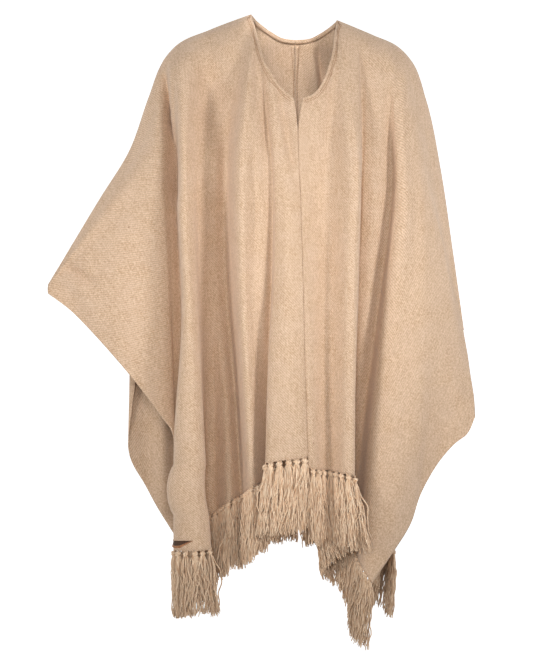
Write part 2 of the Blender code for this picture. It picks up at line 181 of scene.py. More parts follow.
# Top edges, outwards from the middle.
RIGHT_NECK_FRONT = [(-1, -114, -158), (-33, -104, -127), (-54, -92, -94), (-66, -72, -57), (-75, -42, -20),
                    (-82, 0, 6)]
LEFT_NECK_FRONT = [(14, -114, -168), (39, -106, -146), (59, -94, -112), (71, -76, -76), (77, -48, -36),
                   (82, 0, -5)]
RIGHT_NECK_BACK = [(3, 76, -35), (-21, 72, -32), (-44, 58, -21), (-66, 32, -7), (-82, 0, 6)]
LEFT_NECK_BACK = [(3, 76, -35), (30, 72, -33), (53, 58, -23), (73, 32, -11), (82, 0, -5)]
RIGHT_ARM = [(-82, 0, 6), (-160, 4, -23), (-221, 4, -51), (-247, 2, -80), (-275, -2, -150), (-311, -8, -251),
             (-368, -22, -346), (-464, -50, -509)]
LEFT_ARM = [(82, 0, -5), (150, 4, -33), (200, 4, -57), (224, 2, -84), (250, 0, -155), (278, -4, -290),
            (300, -8, -440), (321, -14, -593)]

# How far the cloth stands off the top edge where it has turned down: (distance along, radius).
CAP_RADIUS = [(0, 22), (50, 35), (150, 50), (230, 46), (400, 38), (520, 24), (600, 12), (670, 2)]

RIGHT_FRONT = [
    Fall("seam", -999, (10, -155), (15, -171), (19, -179), (25, -184, -827)),
    Fall("strip inner", -196, (-2, -158), (2, -177), (6, -188), (12, -192, -829)),
    Fall("strip crest", -165, (-17, -158), (-17, -180), (-18, -194), (-21, -198, -833)),
    Fall("strip edge", -130, (-36, -150), (-36, -164), (-48, -178), (-54, -186, -839)),
    Fall("strip fold", -112, (-42, -138), (-42, -142), (-46, -140), (-32, -138, -848)),
    Fall("third trough", -90, (-54, -138), (-57, -151), (-58, -143), (-46, -122, -864)),
    Fall("third fall", -58, (-76, -147), (-82, -159), (-73, -159), (-64, -150, -876)),
    Fall("third crest", -30, (-94, -153), (-97, -171), (-88, -175), (-78, -172, -883)),
    Fall("third brow", -13, (-104, -149), (-109, -160), (-99, -163), (-87, -162, -887)),
    Fall("third edge", 0, (-109, -136), (-112, -134), (-101, -132), (-88, -140, -892)),
    Fall("second trough", 35, (-123, -86), (-125, -84), (-109, -80), (-98, -100, -900)),
    Fall("second crest", 70, (-148, -96), (-147, -91), (-129, -97), (-121, -134, -912)),
    Fall("second fall", 105, (-169, -104), (-165, -97), (-153, -77), (-149, -94, -933)),
    Fall("second fold", 128, (-184, -118), (-177, -111), (-173, -104), (-184, -122, -967)),
    Fall("first edge", 147, (-193, -132), (-181, -143), (-169, -159), (-155, -167, -995)),
    Fall("first crest", 163, (-206, -142), (-194, -162), (-190, -180), (-186, -188, -1000)),
    Fall("first side", 183, (-217, -129), (-208, -145), (-222, -158), (-223, -165, -1000)),
    Fall("corner", 205, (-221, -76), (-211, -76), (-214, -82), (-204, -110, -1003)),
    Fall("side edge 1", 232, (-233, -82), (-227, -83), (-226, -80), (-222, -94, -900)),
    Fall("side edge 2", 262, (-248, -96), (-240, -96), (-230, -92), (-225, -100, -797)),
    Fall("side edge 3", 300, (-268, -98), (-264, -102), (-255, -102), (-249, -106, -754)),
    Fall("side edge 4", 390, (-318, -84), (-312, -96), (-307, -102), (-302, -102, -684)),
    Fall("side edge 5", 510, (-380, -68), (-374, -80), (-368, -88), (-362, -88, -615)),
    Fall("side edge 6", 600, (-428, -56), (-424, -62), (-420, -66), (-416, -68, -560)),
    Fall("tip", 999, (-464, -54), (-464, -56), (-464, -58), (-463, -60, -524)),
]

LEFT_FRONT = [
    Fall("seam", -999, (10, -155), (15, -171), (19, -179), (25, -184, -847)),
    Fall("strip inner", -196, (23, -150), (28, -164), (32, -174), (38, -180, -850)),
    Fall("strip trough", -130, (58, -133), (62, -139), (62, -146), (64, -151, -853)),
    Fall("strip crest", -40, (102, -152), (99, -170), (95, -178), (92, -182, -858)),
    Fall("strip edge", 48, (123, -140), (119, -158), (113, -168), (111, -174, -865)),
    Fall("strip fold", 54, (121, -118), (113, -122), (97, -114), (78, -136, -886)),
    Fall("hidden side", 60, (126, -104), (112, -100), (86, -92), (48, -108, -920)),
    Fall("hidden turn", 72, (133, -108), (121, -100), (93, -76), (52, -68, -950)),
    Fall("trough wall", 92, (152, -109), (138, -104), (110, -80), (84, -62, -968)),
    Fall("trough", 125, (181, -92), (157, -92), (128, -82), (110, -88, -998)),
    Fall("wing side", 150, (191, -117), (164, -124), (138, -132), (124, -142, -1030)),
    Fall("corner", 175, (206, -124), (183, -133), (160, -147), (143, -153, -1062)),
    Fall("side edge 1", 205, (225, -110), (214, -126), (203, -140), (180, -136, -1009)),
    Fall("side edge 2", 250, (244, -102), (238, -118), (231, -126), (215, -112, -956)),
    Fall("side edge 3", 310, (262, -86), (262, -102), (252, -106), (235, -96, -901)),
    Fall("side edge 4", 400, (283, -66), (284, -82), (279, -92), (266, -90, -846)),
    Fall("side edge 5", 520, (300, -50), (304, -66), (304, -78), (298, -84, -808)),
    Fall("side edge 6", 610, (314, -38), (320, -54), (324, -66), (325, -72, -787)),
    Fall("tip", 999, (327, -30), (332, -44), (338, -54), (340, -60, -756)),
]

RIGHT_BACK = [
    Fall("seam", -999, (4, 122), (6, 140), (8, 150), (10, 152, -883)),
    Fall("crest 1", -75, (-34, 130), (-38, 154), (-42, 172), (-46, 184, -879)),
    Fall("wall 1", -55, (-56, 124), (-58, 140), (-57, 148), (-52, 150, -886)),
    Fall("trough 1", -30, (-78, 116), (-78, 122), (-74, 116), (-66, 104, -894)),
    Fall("rise 2", 15, (-100, 120), (-96, 134), (-90, 142), (-86, 138, -890)),
    Fall("crest 2", 45, (-124, 126), (-122, 154), (-118, 172), (-114, 186, -888)),
    Fall("wall 2", 70, (-142, 112), (-138, 130), (-132, 138), (-126, 144, -902)),
    Fall("trough 2", 100, (-164, 98), (-158, 104), (-148, 100), (-138, 90, -920)),
    Fall("rise 3", 130, (-184, 100), (-176, 118), (-166, 128), (-156, 128, -930)),
    Fall("crest 3", 160, (-206, 102), (-202, 132), (-194, 152), (-184, 166, -944)),
    Fall("wall 3", 185, (-220, 88), (-214, 104), (-204, 116), (-192, 122, -966)),
    Fall("trough 3", 210, (-234, 76), (-228, 78), (-214, 80), (-196, 78, -990)),
    Fall("corner", 235, (-246, 70), (-240, 80), (-230, 88), (-212, 86, -1015)),
    Fall("side edge 1", 262, (-262, 70), (-262, 84), (-256, 92), (-250, 86, -955)),
    Fall("side edge 2", 300, (-280, 66), (-284, 82), (-284, 90), (-284, 86, -895)),
    Fall("side edge 3", 345, (-300, 60), (-306, 74), (-312, 84), (-317, 82, -830)),
    Fall("side edge 4", 400, (-322, 52), (-320, 66), (-315, 76), (-311, 78, -745)),
    Fall("side edge 5", 455, (-345, 42), (-334, 56), (-318, 66), (-308, 70, -675)),
    Fall("side edge 6", 560, (-398, 16), (-388, 26), (-372, 34), (-360, 38, -600)),
    Fall("tip", 999, (-464, -46), (-464, -44), (-464, -42), (-463, -40, -524)),
]

LEFT_BACK = [
    Fall("seam", -999, (4, 122), (6, 140), (8, 150), (10, 152, -883)),
    Fall("crest 1", -70, (44, 130), (48, 152), (54, 168), (58, 180, -880)),
    Fall("wall 1", -45, (64, 122), (68, 136), (68, 144), (64, 146, -887)),
    Fall("trough 1", -15, (86, 114), (88, 120), (86, 112), (78, 98, -896)),
    Fall("rise 2", 20, (108, 118), (106, 132), (102, 138), (100, 132, -894)),
    Fall("crest 2", 50, (134, 122), (134, 150), (132, 168), (130, 178, -898)),
    Fall("wall 2", 72, (152, 108), (150, 124), (146, 132), (142, 136, -914)),
    Fall("trough 2", 96, (172, 96), (168, 98), (160, 90), (150, 84, -936)),
    Fall("rise 3", 118, (188, 98), (184, 112), (176, 120), (166, 118, -962)),
    Fall("crest 3", 140, (202, 102), (204, 126), (198, 142), (186, 150, -990)),
    Fall("corner", 170, (216, 86), (220, 104), (212, 112), (194, 106, -1020)),
    Fall("side edge 1", 205, (232, 76), (238, 92), (230, 100), (212, 98, -965)),
    Fall("side edge 2", 250, (248, 66), (254, 80), (250, 88), (236, 88, -905)),
    Fall("side edge 3", 320, (264, 54), (270, 68), (268, 76), (262, 78, -840)),
    Fall("side edge 4", 430, (288, 38), (292, 50), (294, 58), (292, 62, -775)),
    Fall("tip", 999, (325, -4), (329, 2), (333, 6), (334, 8, -735)),
]

# Soft creases in the cloth, as lines from one point to another in front view. Each one is that
# wide and that high, outwards from the body, and may push the cloth aside along +x.
Crease = namedtuple("Crease", "x0 z0 x1 z1 width height aside", defaults=[0])
CREASE_SPAN, CREASE_LEAD = 0.86, 0.07  # the part of a half wave that its height follows along it
CREASE_FULLNESS = 0.7  # below 1, it keeps its height for longer

RIGHT_FRONT_CREASES = [
    Crease(-110, -30, -200, -62, 9, -2.2),
    Crease(-246, -96, -225, -345, 12, -22, 7),
    Crease(-220, -60, -205, -300, 11, 5),
    Crease(-166, -40, -136, -260, 22, -12),
    Crease(-84, -55, -90, -220, 13, 3.5),
    Crease(-57, -95, -50, -260, 9, -8),
    Crease(-178, -60, -172, -260, 17, -7),
    Crease(-78, -70, -72, -180, 9, -4),
    Crease(-31, -130, -3, -300, 9, -9),
    Crease(-442, -464, -374, -509, 9, -9.0),
    Crease(-436, -492, -388, -526, 11, 4.5),
    Crease(-222, -850, -222, -928, 60, 0, -12),
    Crease(-242, -112, -236, -230, 9, -18, 0),
    Crease(-232, -100, -226, -240, 9, 4, -6),
    Crease(-79, -250, -74, -500, 6, -5),
    Crease(-168, -108, -150, -240, 28, -12),
]
LEFT_FRONT_CREASES = [
    Crease(110, -40, 122, -110, 12, -2.5),
    Crease(88, -60, 94, -200, 10, -4),
    Crease(70, -110, 74, -330, 12, -6.5),
    Crease(66, -300, 68, -520, 12, -5),
    Crease(197, -60, 186, -240, 12, -7),
    Crease(140, -52, 160, -48, 10, -1.8),
    Crease(280, -700, 300, -760, 20, -5.0),
    Crease(300, -690, 312, -725, 14, 3.5),
]
RIGHT_BACK_CREASES = [
    Crease(-60, -70, -75, -300, 16, 3.0),
    Crease(-150, -60, -170, -330, 18, -4.0),
    Crease(-380, -470, -300, -520, 18, 4.0),
    Crease(-256, -690, -252, -940, 21, -19.0),
    Crease(-222, -660, -226, -950, 14, 14.0),
]
LEFT_BACK_CREASES = [
    Crease(29, -46, 43, -140, 11, -19, 4),
    Crease(44, -56, 58, -140, 11, 16),
    Crease(140, -60, 165, -300, 18, -4.0),
    Crease(280, -640, 296, -720, 18, 4.0),
]

# How far the tassels' ends lean along +x, by the fall line that they hang below.
RIGHT_FRONT_LEANS = {"seam": 8, "strip inner": -3, "strip crest": -6, "strip edge": -12, "strip fold": -8,
                     "third crest": -3, "second crest": -1, "second fold": 6, "first edge": 15,
                     "first crest": 5, "first side": -2, "corner": 3}
LEFT_FRONT_LEANS = {"seam": -8, "strip trough": 4, "strip crest": 9, "strip edge": 19, "strip fold": 10,
                    "hidden side": 18, "hidden turn": 14, "trough wall": 2, "trough": -6, "wing side": -10,
                    "corner": -9}
RIGHT_BACK_LEANS = {"seam": 0, "crest 1": -4, "trough 1": 2, "crest 2": -5, "crest 3": -4, "corner": 6}
LEFT_BACK_LEANS = {"seam": 0, "crest 1": 4, "trough 1": -3, "crest 2": 5, "rise 3": -8, "crest 3": -14,
                   "corner": -9}

# How long the tassels are beside the usual length, by fall line.
RIGHT_FRONT_LENGTHS = {"seam": 1.09, "strip crest": 1.08, "strip edge": 1.03, "third trough": 1.05,
                       "third edge": 1.07, "second crest": 1.02, "first edge": 0.94, "corner": 0.94}
LEFT_FRONT_LENGTHS = {"seam": 1.09, "strip crest": 1.06, "strip edge": 1.04, "hidden side": 0.9,
                      "trough": 0.86, "wing side": 1.0, "corner": 1.03}
RIGHT_BACK_LENGTHS = {"seam": 1.0, "corner": 1.0}
LEFT_BACK_LENGTHS = {"seam": 1.0, "trough 2": 1.0, "rise 3": 1.12, "crest 3": 1.12, "corner": 0.99}

# The cloth's faint unevenness: height, length of the wave across and down, and where it starts.
WAVES = [(0.55, 23.0, 210.0, 0.0), (0.45, 14.5, -150.0, 1.7), (0.4, 41.0, 97.0, 0.6), (0.3, 9.0, 260.0, 2.9)]

# Grids for finding places on the cloth: columns to a fall line, rows in the top share and below it.
LAID_COLUMNS, LAID_TOP, LAID_ROWS = 8, 0.1, (18, 60)
# Grid for laying out the weave, and how many fall lines past the corner it takes to turn.
WEAVE_COLUMNS, WEAVE_ROWS, WING_TURN = 3, 17, 2.0
WEAVE_EVENNESS = 2.0  # keeps the shortest steps from deciding the layout

# What shapes one quarter of the poncho.
Cut = namedtuple("Cut", "neck falls creases leans lengths")
CUTS = {
    ("right", "front"): Cut(RIGHT_NECK_FRONT, RIGHT_FRONT, RIGHT_FRONT_CREASES, RIGHT_FRONT_LEANS,
                            RIGHT_FRONT_LENGTHS),
    ("right", "back"): Cut(RIGHT_NECK_BACK, RIGHT_BACK, RIGHT_BACK_CREASES, RIGHT_BACK_LEANS,
                           RIGHT_BACK_LENGTHS),
    ("left", "front"): Cut(LEFT_NECK_FRONT, LEFT_FRONT, LEFT_FRONT_CREASES, LEFT_FRONT_LEANS,
                           LEFT_FRONT_LENGTHS),
    ("left", "back"): Cut(LEFT_NECK_BACK, LEFT_BACK, LEFT_BACK_CREASES, LEFT_BACK_LEANS,
                          LEFT_BACK_LENGTHS),
}
SIDES = {"right": (RIGHT, RIGHT_ARM), "left": (LEFT, LEFT_ARM)}
PARTS = {"front": (FRONT, FRONT_SEAM), "back": (BACK, BACK_SEAM)}

# Finishes, as the colours of their light and dark fibres.
TWILL = ("#DEC0A1", "#B28E6B")
TWILL_BLOOM = "#E1C6B0"  # where the nap is brushed up
BURR = "#7A4B33"  # flecks of brown plant matter left in the wool
FRINGE_YARN = ("#E9D0B4", "#BF9A77")
FRINGE_YARN_PAINTED_LIGHT = ("#FFE8CC", "#DBB28B")  # painted light: the fringe that hangs highest is painted paler, as if better lit
FRINGE_PAINTED_LIGHT_HEIGHTS = (-1.10, -0.90)  # metres, from where the fringe has its own colours to the painted-lit ones
SELVEDGE_CORD = ("#B9825A", "#8C5B3A")
# Painted shade: a near black-brown sheet stands for the shade inside the small corner fold.
FOLD_PAINTED_SHADE = ("#5C4231", "#3C2A1F")
SEWING_THREAD = ("#B98F6B", "#98704E")

# Patterns of the twill. Ribs and threads are drawn about twice as coarse as the real ones, so that
# they still show at the size the poncho is seen.
RIB, THREAD = 4.6, 2.3  # spacing
YARN_WANDER, YARN_WOBBLE = 11.11, 2.2  # length of a yarn's wanderings, and their size in radians
WARP_STREAK, WEFT_STREAK = (2.381, 38.46), (33.33, 2.632)  # uneven yarns: size across, size along
FLECK, CLOUD = 3.03, 35.71  # size of the nap's tufts, and of broader patches in it
BURR_PITCH, BURR_EDGE = 38.46, (0.055, 0.03)  # and a burr's rim, soft to full, as shares of the pitch
BURR_RARITY, BURR_STRENGTH = 0.9, 0.5
TWILL_BUMP, YARN_BUMP = 0.55, 0.6
BUMP_DEPTH = 0.6
FIBRE = (2.381, 2.381, 16.67)  # a spun yarn's fibres, which run down it
TWIST = 2.417  # spacing of its twist
WAVE_TEXTURE_TURNS = 10  # radians that a Wave Texture makes of one unit
MIX_A, MIX_B, MIX_RESULT = 6, 7, 2  # a Mix node's colour sockets

# Studio, in metres.
Lamp = namedtuple("Lamp", "name place target angle power radius")
LAMPS = [
    Lamp("left_window", (-4.6, -3.7, 0.0), (0, 0, -0.42), 19, 885, 0.75),
    Lamp("right_window", (4.6, -3.8, 0.1), (0, 0, -0.42), 19, 1090, 0.75),
    Lamp("front", (-0.2, -5.9, 0.2), (0, 0, -0.50), 19, 680, 0.6),
    Lamp("neck", (-0.045, -0.12, 0.07), (-0.01, 0.09, -0.09), 40, 3.7, 0.05),
]
WORLD_STRENGTH = 0.33
FLOOR_HEIGHT, FLOOR_FRONT, FLOOR_SIDES = -2.4, -9.0, 9.0
WALL_PLACE, WALL_TOP = 3.6, 6.0
FLOOR_BEND, FLOOR_BEND_STEPS = 1.2, 16
PAPER_GREY = 0.8
GLOW_FROM, GLOW_TO, GLOW = 1.2, 2.6, 0.75  # y where the paper starts to glow and where it is full
CAMERA_DISTANCE = 6.0
SENSOR = 36.0  # millimetres
VIEW_WIDTH = 1.0127
VIEW_CENTRE = (-0.05225, -0.5985)
VIEW_END = 60.0


# ---------------------------------------------------------------- curves


def smooth(knots, points, at):
    """A smooth curve through points at their knots: Hermite pieces, sloped by the three nearest points."""
    knots, points = np.asarray(knots, float), np.asarray(points, float)
    gaps = np.diff(knots)
    rises = np.diff(points, axis=0) / gaps[:, None]
    before, after = gaps[:-1, None], gaps[1:, None]
    inner = (after * rises[:-1] + before * rises[1:]) / (before + after)
    slopes = np.vstack([rises[:1], inner, rises[-1:]])
    piece = np.clip(np.searchsorted(knots, at, side="right") - 1, 0, len(gaps) - 1)
    gap = gaps[piece][:, None]
    t = (np.asarray(at, float)[:, None] - knots[piece][:, None]) / gap
    near, far = points[piece], points[piece + 1]
    return ((1 + 2 * t) * (1 - t) ** 2 * near + t * (1 - t) ** 2 * gap * slopes[piece]
            + t * t * (3 - 2 * t) * far - t * t * (1 - t) * gap * slopes[piece + 1])


def lengths_along(points):
    """Distance of each point from the first, along the straight lines between them."""
    steps = np.linalg.norm(np.diff(np.asarray(points, float), axis=0), axis=1)
    return np.concatenate([[0.0], np.cumsum(steps)])


def on_line(places, at, points):
    """Points at those places along a line, whose own points lie at the distances given."""
    return np.stack([np.interp(places, at, points[:, k]) for k in range(3)], axis=1)


def read_off(table, at):
    """Values at each place, from a table of (place, value)."""
    return np.interp(at, *np.transpose(table))


def eased(share):
    """From 0 to 1 with a soft start and end."""
    share = np.clip(share, 0, 1)
    return share * share * (3 - 2 * share)


def unit(vectors):
    """The same directions, each one long."""
    return vectors / (np.linalg.norm(vectors, axis=-1, keepdims=True) + 1e-9)


# ---------------------------------------------------------------- the cloth's shape


class TopEdge:
    """Where a quarter of the cloth starts: its neckline, then the shoulder and arm line.

    Places on it are distances from the neck point: less than 0 on the neckline, more on the arm.
    """

    def __init__(self, neck, arm):
        self.neck, self.arm = np.array(neck, float), np.array(arm, float)
        neck_lengths = lengths_along(neck)
        self.neck_at = neck_lengths - neck_lengths[-1]
        self.arm_at = lengths_along(arm)
        self.first, self.last = self.neck_at[0], self.arm_at[-1]

    def point(self, along):
        on_arm = smooth(self.arm_at, self.arm, np.clip(along, 0, self.last))
        on_neck = smooth(self.neck_at, self.neck, np.clip(along, self.first, 0))
        return np.where(along[:, None] >= 0, on_arm, on_neck)

    def inward(self, along):
        """Unit vector in the x-z plane that points from the arm line to the cloth below it."""
        step = 2.0
        along = np.clip(along, 0, self.last)
        ahead = smooth(self.arm_at, self.arm, np.clip(along + step, 0, self.last))
        behind = smooth(self.arm_at, self.arm, np.clip(along - step, 0, self.last))
        run = unit((ahead - behind)[:, [0, 2]])
        side = np.sign(self.arm[-1, 0])
        return np.stack([run[:, 1] * side, np.zeros(len(run)), -run[:, 0] * side], axis=1)


class Quarter:
    """The front or the back of one panel, as a smooth surface through its fall lines.

    Order counts the fall lines outwards from the seam, which is 0. Down is 0 on the top edge and 1
    on the hem or the side edge.
    """

    def __init__(self, side_name, part):
        self.side, arm = SIDES[side_name]
        self.way, seam = PARTS[part]
        neck, falls, self.creases, self.leans, self.lengths = CUTS[side_name, part]
        self.edge = TopEdge(neck, arm)
        self.seam = np.array(seam, float)
        self.names = [f.name for f in falls]
        self.order = np.arange(len(falls), dtype=float)
        self.starts = np.clip([f.start for f in falls], self.edge.first, self.edge.last)
        self.corner = self.names.index("corner")
        self.plans = [np.array(plan, float) for plan in zip(*[(f.chest, f.waist, f.hip) for f in falls])]
        self.ends = np.array([f.end for f in falls], float)

    def along(self, order):
        """Places on the top edge where those columns start."""
        return np.interp(order, self.order, self.starts)

    def order_at(self, along):
        """The columns that start at those places on the top edge."""
        return np.interp(along, self.starts, self.order)

    def end_points(self, order):
        """Where those columns end: on the hem up to the corner, then on the side edge."""
        c = self.corner
        hem = smooth(self.order[: c + 1], self.ends[: c + 1], np.clip(order, 0, c))
        side = smooth(self.order[c:], self.ends[c:], np.clip(order, c, self.order[-1]))
        return np.where(order[:, None] <= c, hem, side)

    def cap_points(self, order, top, first_level):
        """Where the cloth has turned over the top edge, and points opposite that shape the turn."""
        along = self.along(order)
        radius = read_off(CAP_RADIUS, along)[:, None]
        outward = np.array([0, self.way, 0])
        turned = top + self.edge.inward(along) * radius * CAP_DROP
        turned = turned + outward * radius
        below = top + (first_level - top) * (CAP_SHARE / SHARES[0]) + outward * NECK_STAND_OFF
        on_neck = eased(-along / NECK_TURN)[:, None]
        opposite = 2 * top - turned
        opposite[:, [0, 2]] = turned[:, [0, 2]]
        cap = turned * (1 - on_neck) + below * on_neck
        return cap, opposite * (1 - on_neck) + (2 * top - below) * on_neck

    def plain(self, order, down):
        """Points of the cloth before its seams, slit and creases: [order, down, xyz]."""
        top = self.edge.point(self.along(order))
        end = self.end_points(order)
        levels = []
        for share, plan in zip(SHARES, self.plans):
            flat = smooth(self.order, plan, order)
            height = top[:, 2] + share * (end[:, 2] - top[:, 2])
            levels.append(np.column_stack([flat, height]))
        cap, opposite = self.cap_points(order, top, levels[0])
        knots = np.concatenate([[-CAP_SHARE, 0, CAP_SHARE], SHARES, [1]])
        through = np.stack([opposite, top, cap, *levels, end])
        flat = smooth(knots, through.reshape(len(knots), -1), down)
        return flat.reshape(len(down), len(order), 3).transpose(1, 0, 2)

    def cloth(self, order, down):
        """Points of the finished cloth's middle: on the seam, open at the slit, with its creases."""
        order, down = np.asarray(order, float), np.asarray(down, float)
        points = self.plain(order, down)
        first, last = self.seam[0, 2], self.ends[0, 2]
        heights = first + down * (last - first)
        on_seam = np.column_stack([smooth(-self.seam[:, 2], self.seam[:, :2], -heights), heights])
        shift = on_seam - self.plain(np.zeros(1), down)[0]
        near = eased(1 - order)[:, None, None]
        points = self.rounded(points, order, down) + shift[None] * near
        if self.way == FRONT:
            open_share = np.clip((heights - SLIT_BOTTOM) / (SLIT_TOP - SLIT_BOTTOM), 0, 1) ** SLIT_SWEEP
            aside = np.clip(1 - order / 2.0, 0, 1)[:, None]
            points[:, :, 0] += self.side * SLIT_OPENING * open_share[None] * aside
        return self.creased(points)

    def rounded(self, points, order, down):
        """The cloth below the neck point eased, where the neckline meets the shoulder at a corner."""
        along = self.along(order)
        share = np.linspace(-1, 1, NECK_EASE_SAMPLES)
        weight = (1 - abs(share) * (1 - NECK_EASE_RIM))[:, None, None]
        deep = eased(down / NECK_EASE_DEPTH)[:, None]
        points = points.copy()
        for k in np.flatnonzero(np.abs(along) < NECK_EASE_REACH):
            width = NECK_EASE * (1 - (along[k] / NECK_EASE_REACH) ** 2)
            beside = self.plain(self.order_at(along[k] + share * width), down)
            points[k] += ((beside * weight).sum(0) / weight.sum() - points[k]) * deep
        return points

    def creased(self, points):
        """The cloth with its soft creases and its waves."""
        moved, aside = np.zeros(points.shape[:2]), np.zeros(points.shape[:2])
        for crease in self.creases:
            start = np.array([crease.x0, crease.z0], float)
            run = np.array([crease.x1, crease.z1], float) - start
            offset = points[..., [0, 2]] - start
            share = (offset @ run) / np.linalg.norm(run) ** 2
            nearest = np.clip(share, 0, 1)[..., None] * run
            away = np.linalg.norm(offset - nearest, axis=-1)
            fade = np.sin(np.pi * np.clip(share * CREASE_SPAN + CREASE_LEAD, 0, 1)) ** CREASE_FULLNESS
            depth = np.exp(-((away / crease.width) ** 2)) * fade
            moved += crease.height * depth
            aside += crease.aside * depth
        points = points.copy()
        points[..., 1] += self.way * (moved + waves(points))
        points[..., 0] += aside
        return points

    def fine_order(self):
        """Column places close enough together for smooth folds."""
        levels = [*self.plans, self.ends]
        widths = np.max([np.linalg.norm(np.diff(level, axis=0), axis=1) for level in levels], axis=0)
        counts = np.clip(np.ceil(widths / COLUMN_WIDTH), *COLUMNS_PER_FALL).astype(int)
        return np.concatenate([i + np.arange(n) / n for i, n in enumerate(counts)] + [[float(len(counts))]])


def waves(points):
    """Faint unevenness of hanging wool, mostly along the warp."""
    x, z = points[..., 0], points[..., 2]
    return sum(height * np.sin(x / across + z / along + start) for height, across, along, start in WAVES)


class Laid:
    """Puts points on a quarter's cloth: the nearest place on its middle, and the way out of it."""

    def __init__(self, quarter):
        order = np.linspace(0, quarter.order[-1], LAID_COLUMNS * len(quarter.order))
        top_rows, rows = LAID_ROWS
        down = np.concatenate([np.linspace(0, LAID_TOP, top_rows)[:-1], np.linspace(LAID_TOP, 1, rows)])
        grid = quarter.cloth(order, down)
        index = np.arange(grid[..., 0].size).reshape(grid.shape[:2])
        faces = quads(index, quarter.side * quarter.way < 0)
        self.tree = BVHTree.FromPolygons(grid.reshape(-1, 3).tolist(), faces.tolist())

    def at(self, points, out):
        found = [self.tree.find_nearest(Vector(point))[:2] for point in np.asarray(points, float)]
        places, normals = (np.array(column) for column in zip(*found))
        return places + normals * out, normals


def quads(index, flip):
    """The faces between neighbouring rows and columns of points."""
    corners = [index[:-1, :-1], index[1:, :-1], index[1:, 1:], index[:-1, 1:]]
    faces = np.stack(corners, axis=-1).reshape(-1, 4)
    return faces[:, ::-1] if flip else faces


def weave_coordinates(quarter, order, down):
    """Distances across and along the warp for each point: [order, down, 2].

    The warp follows the fall lines, and in the wing it runs beside the side edge. The distances
    are those that fit these directions best over a coarser grid of the same cloth.
    """
    falls = len(quarter.order) - 1
    coarse = np.linspace(0, falls, WEAVE_COLUMNS * falls + 1)
    rows = np.linspace(0, 1, WEAVE_ROWS)
    points = quarter.cloth(coarse, rows)
    across = np.gradient(points, axis=0)
    fall = np.gradient(points, axis=1)
    normal = unit(np.cross(fall, across))
    selvedge = unit(-np.gradient(points[:, -1], axis=0))
    wing = eased((coarse - quarter.corner) / WING_TURN)[:, None, None]
    warp = unit(fall) * (1 - wing) + selvedge[:, None] * wing
    warp = unit(warp - normal * (warp * normal).sum(-1, keepdims=True))
    weft = np.cross(normal, warp)
    weft *= np.sign((weft * across).sum(-1).mean())

    # Each neighbouring pair of points should differ by the field's share of the step between them.
    count = points[..., 0].size
    index = np.arange(count).reshape(points.shape[:2])
    near = np.concatenate([index[:-1].ravel(), index[:, :-1].ravel()])
    far = np.concatenate([index[1:].ravel(), index[:, 1:].ravel()])
    flat_points = points.reshape(-1, 3)
    step = flat_points[far] - flat_points[near]
    weight = 1.0 / (np.linalg.norm(step, axis=1) + WEAVE_EVENNESS)
    system = 1e-9 * np.eye(count)
    system[0, 0] += 1.0
    for row, column, sign in ((near, near, 1), (far, far, 1), (near, far, -1), (far, near, -1)):
        np.add.at(system, (row, column), sign * weight)
    found = []
    for field in (weft, warp):
        flat_field = field.reshape(-1, 3)
        rise = (step * (flat_field[near] + flat_field[far]) / 2).sum(-1)
        pull = np.bincount(far, weight * rise, count) - np.bincount(near, weight * rise, count)
        value = np.linalg.solve(system, pull).reshape(points.shape[:2])
        by_order = np.stack([np.interp(order, coarse, value[:, j]) for j in range(len(rows))], axis=1)
        found.append(np.stack([np.interp(down, rows, by_order[i]) for i in range(len(order))]))
    return np.stack(found, axis=-1)


# ---------------------------------------------------------------- objects


def new_object(name, data):
    made = bpy.data.objects.new(name, data)
    bpy.context.scene.collection.objects.link(made)
    return made


def mesh_object(name, points, faces, finish, uv):
    """A smooth mesh from points, with its weave coordinates."""
    mesh = bpy.data.meshes.new(name)
    mesh.from_pydata((np.asarray(points, float) * MM).tolist(), [], np.asarray(faces).tolist())
    mesh.shade_smooth()
    mesh.materials.append(finish)
    layer = mesh.uv_layers.new(name="weave")
    corner = np.empty(len(mesh.loops), np.int32)
    mesh.loops.foreach_get("vertex_index", corner)
    layer.data.foreach_set("uv", (np.asarray(uv)[corner] * MM).astype(np.float32).ravel())
    mesh.update()
    return new_object(name, mesh)


def thicken(made, thickness):
    """Gives a surface its wall, half on each side."""
    solid = made.modifiers.new("wall", "SOLIDIFY")
    solid.thickness = thickness * MM
    solid.offset = 0.0
    solid.use_quality_normals = True
    return made


def add_node(tree, kind, inputs=None, **settings):
    """A node with its settings. Inputs are set, or linked to a socket or a node's first output."""
    node = tree.nodes.new(kind)
    for name, value in settings.items():
        setattr(node, name, value)
    for key, value in (inputs or {}).items():
        if isinstance(value, bpy.types.Node):
            value = value.outputs[0]
        if isinstance(value, bpy.types.NodeSocket):
            tree.links.new(value, node.inputs[key])
        else:
            node.inputs[key].default_value = value
    return node


# ---------------------------------------------------------------- finishes


def linear(hexadecimal):
    """A #RRGGBB colour in Blender's linear values."""
    parts = [int(hexadecimal[i : i + 2], 16) / 255 for i in (1, 3, 5)]
    return [p / 12.92 if p <= 0.04045 else ((p + 0.055) / 1.055) ** 2.4 for p in parts] + [1.0]


def blank_material(name):
    """A material, its node tree and its shader."""
    made = bpy.data.materials.new(name)
    made.use_nodes = True
    return made, made.node_tree, made.node_tree.nodes["Principled BSDF"]


def per_metre(*sizes):
    """Pattern scales from sizes in millimetres."""
    return [1 / (size * MM) for size in sizes]


def weighted_sum(tree, *patterns):
    """Patterns added up, each one times its weight."""
    total = 0.0
    for pattern, weight in patterns:
        total = add_node(tree, "ShaderNodeMath", {0: pattern, 1: weight, 2: total}, operation="MULTIPLY_ADD")
    return total


